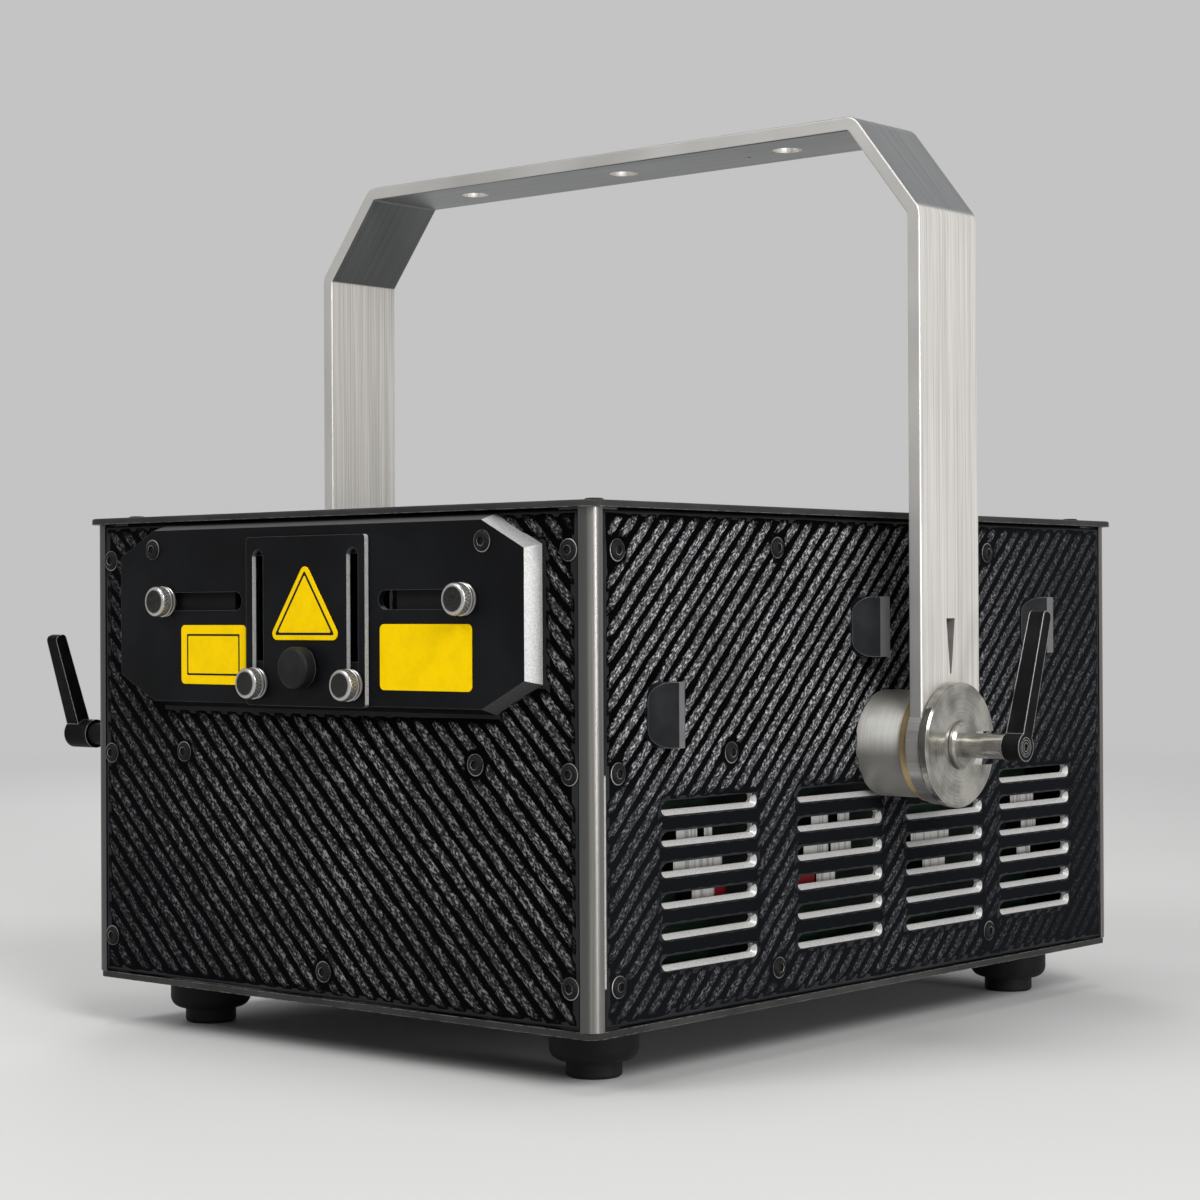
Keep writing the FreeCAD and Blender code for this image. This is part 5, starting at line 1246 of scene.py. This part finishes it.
@dataclass
class Aperture(SubAssembly):
    """Drafted plate with its shutter, masks, thumb screws and blank plates."""

    head: float = 7 * MM
    largest: float = 6.5 * MM
    drum_rows: int = 16
    teeth: int = 26
    tooth_points: int = 6
    tooth_depth: float = 0.3 * MM
    tooth_slant: float = 1.15
    base: float = 21 * MM
    plate_thickness: float = 0.5 * MM
    plate_bevel: float = 0.12 * MM
    plate_gap: float = 0.02 * MM
    least_radius: float = 0.5 * MM
    arc_points: int = 7
    middle_inset: float = 9 * MM

    def finishes(self) -> dict[Finish, list[str]]:
        """Black plates with bare walls, bright thumb screws and clear glass."""
        return {PLATE_COAT: ["aperture_plate"], SHUTTER_COAT: ["shutter_plate"], KNOB: ["shutter_knob"],
                INNER_COAT: both("mask"), GLASS: ["aperture_window"],
                THUMB: both("thumb_screw_lower", "thumb_screw_upper")}

    def thumb_screw(self, shank: float) -> Surface:
        """A thumb screw about Z with its seat at Z = 0 and its head above.

        The head has two thin collars with grooves between them and a knurled drum. The knurl is two
        sets of slanting waves about the axis, and the lower of the two gives each diamond its height.

        Args:
            shank: length of the shank below the seat.

        Returns:
            The closed screw, marked bright on its collars and the tops of its knurl, partly as wear and
            partly as painted highlight.
        """
        deep = -shank / MM
        below = [(0, deep), (2.8, deep), (2.8, 0), (5.9, 0), (6.3, 0.25), (6.3, 0.9), (6.0, 1.15),
                 (5.3, 1.25), (5.3, 1.65), (6.1, 1.75), (6.45, 2.0), (6.45, 2.6), (6.2, 2.75), (5.5, 2.85),
                 (5.5, 3.1), (6.1, 3.2)]
        drum = np.stack([np.full(self.drum_rows, 6.28), np.linspace(3.3, 6.2, self.drum_rows)], 1)
        above = [(6.1, 6.55), (5.7, 6.9), (5.2, 7.0), (4.6, 7.0), (4.3, 6.85), (0.0, 6.8)]
        radius, height = np.concatenate([below, drum, above]).T * MM
        knurl = np.repeat([0.0, 1.0, 0.0], [len(below), len(drum), len(above)])[:, None]
        bright = np.ones((len(radius), 1))
        bright[:3] = 0
        bright[-4:, 0] = 0.8, 0.35, 0.2, 0.2
        angle = np.linspace(0, 2 * np.pi, self.teeth * self.tooth_points, endpoint=False)
        slant = height[:, None] / MM * self.tooth_slant
        wave = np.minimum(np.abs(np.sin(angle * self.teeth / 2 + slant)),
                          np.abs(np.sin(angle * self.teeth / 2 - slant)))
        full = radius[:, None] + knurl * (wave - 0.75) * self.tooth_depth
        # The knurl's grooves are marked darker, a painted shade.
        shade = bright * (1 - knurl * (1 - np.clip(wave * 1.6, 0, 1)) * 0.75)
        return lathe(np.minimum(full, self.largest), height, {"bright": shade})

    def build_thumb_screws(self) -> None:
        """Knurled thumb screws in place of the plain ones, on their own bodies."""
        for place in both("lower", "upper"):
            node = "thumb_screw_" + place
            low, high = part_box(node)
            seat = np.array([(low.x + high.x) / 2, low.y + self.head, (low.z + high.z) / 2])
            screw = self.thumb_screw(high.y - low.y - self.head).moved(Side.FRONT.axes, seat)
            piece = screw.make("knurled_" + node, THUMB, "thumb_" + place, "thumb_steel", sharp=50)
            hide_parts(node)

    def blank(self, corners: np.ndarray, radius: float, steps: np.ndarray, face: float) -> Surface:
        """A thin plate with round corners and a level face towards the front.

        An outline is the corners pulled in by a step, each rounded by an arc that spans the turn
        between its two sides. Rows run from the back edge over the front edge to the middle.

        Args:
            corners: the corners in x and z, anticlockwise from the front.
            radius: the corners' radius.
            steps: distances from the edge at which the face has rows.
            face: y of the plate's back.

        Returns:
            The closed plate with its distance from the edge.
        """
        ahead = np.roll(corners, -1, 0) - corners
        ahead = ahead / np.linalg.norm(ahead, axis=1, keepdims=True)
        inward = np.stack([-ahead[:, 1], ahead[:, 0]], 1)
        behind = np.roll(inward, 1, 0)
        lean = (inward * behind).sum(1)
        pull = (inward + behind) / (1 + lean[:, None])
        first = np.arctan2(-behind[:, 1], -behind[:, 0])
        swing = np.arctan2(behind[:, 0] * inward[:, 1] - behind[:, 1] * inward[:, 0], lean)
        angle = first[:, None] + swing[:, None] * np.linspace(0, 1, self.arc_points)
        arc = np.stack([np.cos(angle), np.sin(angle)], -1)
        insets = np.concatenate([[0, 0, self.plate_bevel], steps])
        depth = np.concatenate([[0, 0.8, 1.0], np.ones(len(steps))]) * self.plate_thickness
        rounding = np.maximum(radius - insets, self.least_radius)
        core = corners + pull * (insets + rounding)[:, None, None]
        flat = core[:, :, None, :] + arc * rounding[:, None, None, None]
        flat = flat.reshape(len(insets), -1, 2)
        middle = np.broadcast_to(corners.mean(0), (1, flat.shape[1], 2))
        flat = np.concatenate([middle, flat, middle])
        depth = np.concatenate([[0], depth, depth[-1:]])
        inset = np.concatenate([[0], insets, [self.middle_inset]])
        marks = np.broadcast_to(inset[:, None], flat.shape[:2])
        y = np.broadcast_to(face - depth[:, None], flat.shape[:2])
        return Surface.grid(np.stack([flat[..., 0], y, flat[..., 1]], -1), {"inset": marks}, True)

    def build_blanks(self) -> None:
        """Yellow plates: a lined triangle on the shutter, a framed and a plain one beside it."""
        for blank in BLANKS:
            spots = np.array(blank.corners) * MM + (0, self.base)
            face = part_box(blank.node)[0].y - self.plate_gap
            sheet = self.blank(spots, blank.radius * MM, np.array(blank.rows) * MM, face)
            sheet.make(blank.name, blank.finish, blank.body, "plate_black")

    def build(self) -> None:
        """Build the aperture's own pieces."""
        self.build_thumb_screws()
        self.build_blanks()


class Bracket(SubAssembly):
    """Yoke, pivots with their clamps, and the levers."""

    def finishes(self) -> dict[Finish, list[str]]:
        """Brushed bar, turned pivots and black levers."""
        return {YOKE_STEEL: ["yoke"], BOSS_STEEL: both("pivot_boss"), BRONZE: both("friction_ring"),
                PIVOT_STEEL: both("clamp_disc", "clamp_shaft"),
                LEVER: both("clamp_lever") + ["beam_stop_lever"]}


class Optics(SubAssembly):
    """Bench with its lasers, mirrors and scanner, and the beam stop in front of it."""

    def finishes(self) -> dict[Finish, list[str]]:
        """Brushed aluminium, black cases and mirror glass."""
        return {BENCH: ["optical_bench", "heat_sink", "scanner_block", "beam_stop_bracket"],
                MODULE: ["laser_module_red", "laser_module_green", "laser_module_blue"],
                MIRROR: ["combining_mirrors", "galvo_mirror_x", "galvo_mirror_y"],
                MOTOR: ["scanner_motors"], INNER_COAT: ["beam_stop_flag"]}


class Electronics(SubAssembly):
    """Power supply, driver board and fans."""

    def finishes(self) -> dict[Finish, list[str]]:
        """Sheet metal, a green board and black fans."""
        return {SUPPLY: ["power_supply"], BOARD: ["driver_board"], FAN: both("fan_frame", "fan_rotor")}


class RearFittings(SubAssembly):
    """Mains inlet with its switch, key lock and signal sockets."""

    def finishes(self) -> dict[Finish, list[str]]:
        """Black mouldings and a bright lock."""
        return {INLET: ["power_inlet"], ROCKER: ["power_switch"], CHROME: ["key_switch", "switch_key"],
                SOCKET: ["signal_sockets"]}


@dataclass(frozen=True)
class Lamp:
    """A round soft lamp: where it hangs, where it points, how wide it is and its power in watts."""

    name: str
    spot: tuple
    aim: tuple
    size: float
    power: float


LAMPS = (Lamp("key", (1.9, -1.0, 1.5), (0.0, 0.0, 0.15), 1.0, 34.0),
         Lamp("side", (2.0, 0.0, 0.25), (0.14, 0.0, 0.1), 0.5, 10.0),
         Lamp("fill", (-0.5, -1.9, 1.7), (0.0, -0.1, 0.15), 1.1, 20.0),
         Lamp("rear", (-1.4, 1.3, 1.0), (0.0, 0.1, 0.15), 1.0, 10.0),
         Lamp("top", (0.0, -0.1, 2.2), (0.0, 0.0, 0.2), 1.2, 12.0))


@dataclass
class Studio:
    """Pale floor, soft lamps and the camera of the photograph's view."""

    eye: tuple = (0.78306, -0.93355, 0.18008)
    azimuth: float = 40.453
    elevation: float = -0.217
    roll: float = -0.273
    focal_pixels: float = 2664.235
    image_pixels: float = 1200.0
    sensor_width: float = 36.0
    clip: tuple = (0.05, 200.0)
    floor_reach: float = 30.0
    floor_near: float = 0.5
    floor_far: float = 2.4
    floor_tints: tuple = ((0.66, 0.66, 0.655), (0.7, 0.7, 0.695))
    backdrop: float = 0.55
    daylight: float = 0.25

    def build_camera(self) -> None:
        """A level camera that looks at the projector from its front right corner."""
        a, e, r = (math.radians(angle) for angle in (self.azimuth, self.elevation, self.roll))
        back = Vector((math.sin(a) * math.cos(e), -math.cos(a) * math.cos(e), math.sin(e)))
        right = Vector((math.cos(a), math.sin(a), 0))
        up = back.cross(right)
        right, up = right * math.cos(r) + up * math.sin(r), up * math.cos(r) - right * math.sin(r)
        data = bpy.data.cameras.new("camera")
        data.sensor_width = self.sensor_width
        data.lens = self.sensor_width * self.focal_pixels / self.image_pixels
        data.clip_start, data.clip_end = self.clip
        camera = linked("camera", data)
        turn = Matrix((right, up, back)).transposed().to_4x4()
        camera.matrix_world = Matrix.Translation(Vector(self.eye)) @ turn
        bpy.context.scene.camera = camera

    def build_floor(self) -> None:
        """A wide pale floor that goes over into the backdrop's tone far from the projector."""
        line = np.linspace(-self.floor_reach, self.floor_reach, 3)
        sheet = Surface.grid(np.stack([*np.meshgrid(line, line), np.zeros((3, 3))], -1), {})
        mesh = bpy.data.meshes.new("floor")
        mesh.from_pydata(sheet.points.tolist(), [], sheet.faces.tolist())
        shader = Shader("floor_pale")
        mottle = shader.noise(0.4, detail=3)
        shader.finish(base_color=shader.mix(mottle, *self.floor_tints), roughness=0.8, specular=0.1)
        x, y, _ = shader.split(shader.place)
        far = ((x ** 2 + y ** 2) ** 0.5).rise(self.floor_near, self.floor_far)
        glow = shader.node("ShaderNodeEmission", None, {"Color": (self.backdrop,) * 3})
        shader.close(shader.node("ShaderNodeMixShader", None, {
            0: far, 1: Value(shader, shader.surface.outputs[0]), 2: glow}))
        mesh.materials.append(shader.material)
        floor = linked("floor", mesh)

    def build_lamps(self) -> None:
        """Soft lamps: a key at the right front, one on the right, a fill, one behind and one above."""
        for lamp in LAMPS:
            data = bpy.data.lights.new(lamp.name, "AREA")
            data.shape = "DISK"
            data.size = lamp.size
            data.energy = lamp.power
            hung = linked(lamp.name, data)
            hung.location = lamp.spot
            hung.rotation_mode = "QUATERNION"
            hung.rotation_quaternion = (Vector(lamp.aim) - Vector(lamp.spot)).to_track_quat("-Z", "Y")

    def build_world(self) -> None:
        """An even white light; the camera, gloss and glass see a pale backdrop."""
        world = bpy.data.worlds.new("studio")
        world.use_nodes = True
        bpy.context.scene.world = world
        nodes = Nodes(world.node_tree)
        light = world.node_tree.nodes["Background"]
        nodes.feed(light.inputs["Color"], (1, 1, 1))
        nodes.feed(light.inputs["Strength"], self.daylight)
        pale = nodes.node("ShaderNodeBackground", None, {"Color": (self.backdrop,) * 3})
        camera, gloss, glass = (nodes.node("ShaderNodeLightPath", out=f"Is {ray} Ray")
                                for ray in ("Camera", "Glossy", "Transmission"))
        nodes.close(nodes.node("ShaderNodeMixShader", None, {
            0: camera.larger(gloss).larger(glass), 1: Value(nodes, light.outputs[0]), 2: pale}))

    def build(self) -> None:
        """Set up the studio."""
        bpy.context.scene.view_settings.view_transform = "Standard"
        self.build_camera()
        self.build_floor()
        self.build_lamps()
        self.build_world()


def main() -> None:
    """Build the studio and the sub-assemblies in order."""
    logging.basicConfig(level=logging.INFO, format="%(name)s: %(message)s")
    Studio().build()
    for group in (Housing(), Aperture(), Bracket(), Optics(), Electronics(), RearFittings()):
        group.dress()
        group.build()


if __name__ == "__main__":
    main()
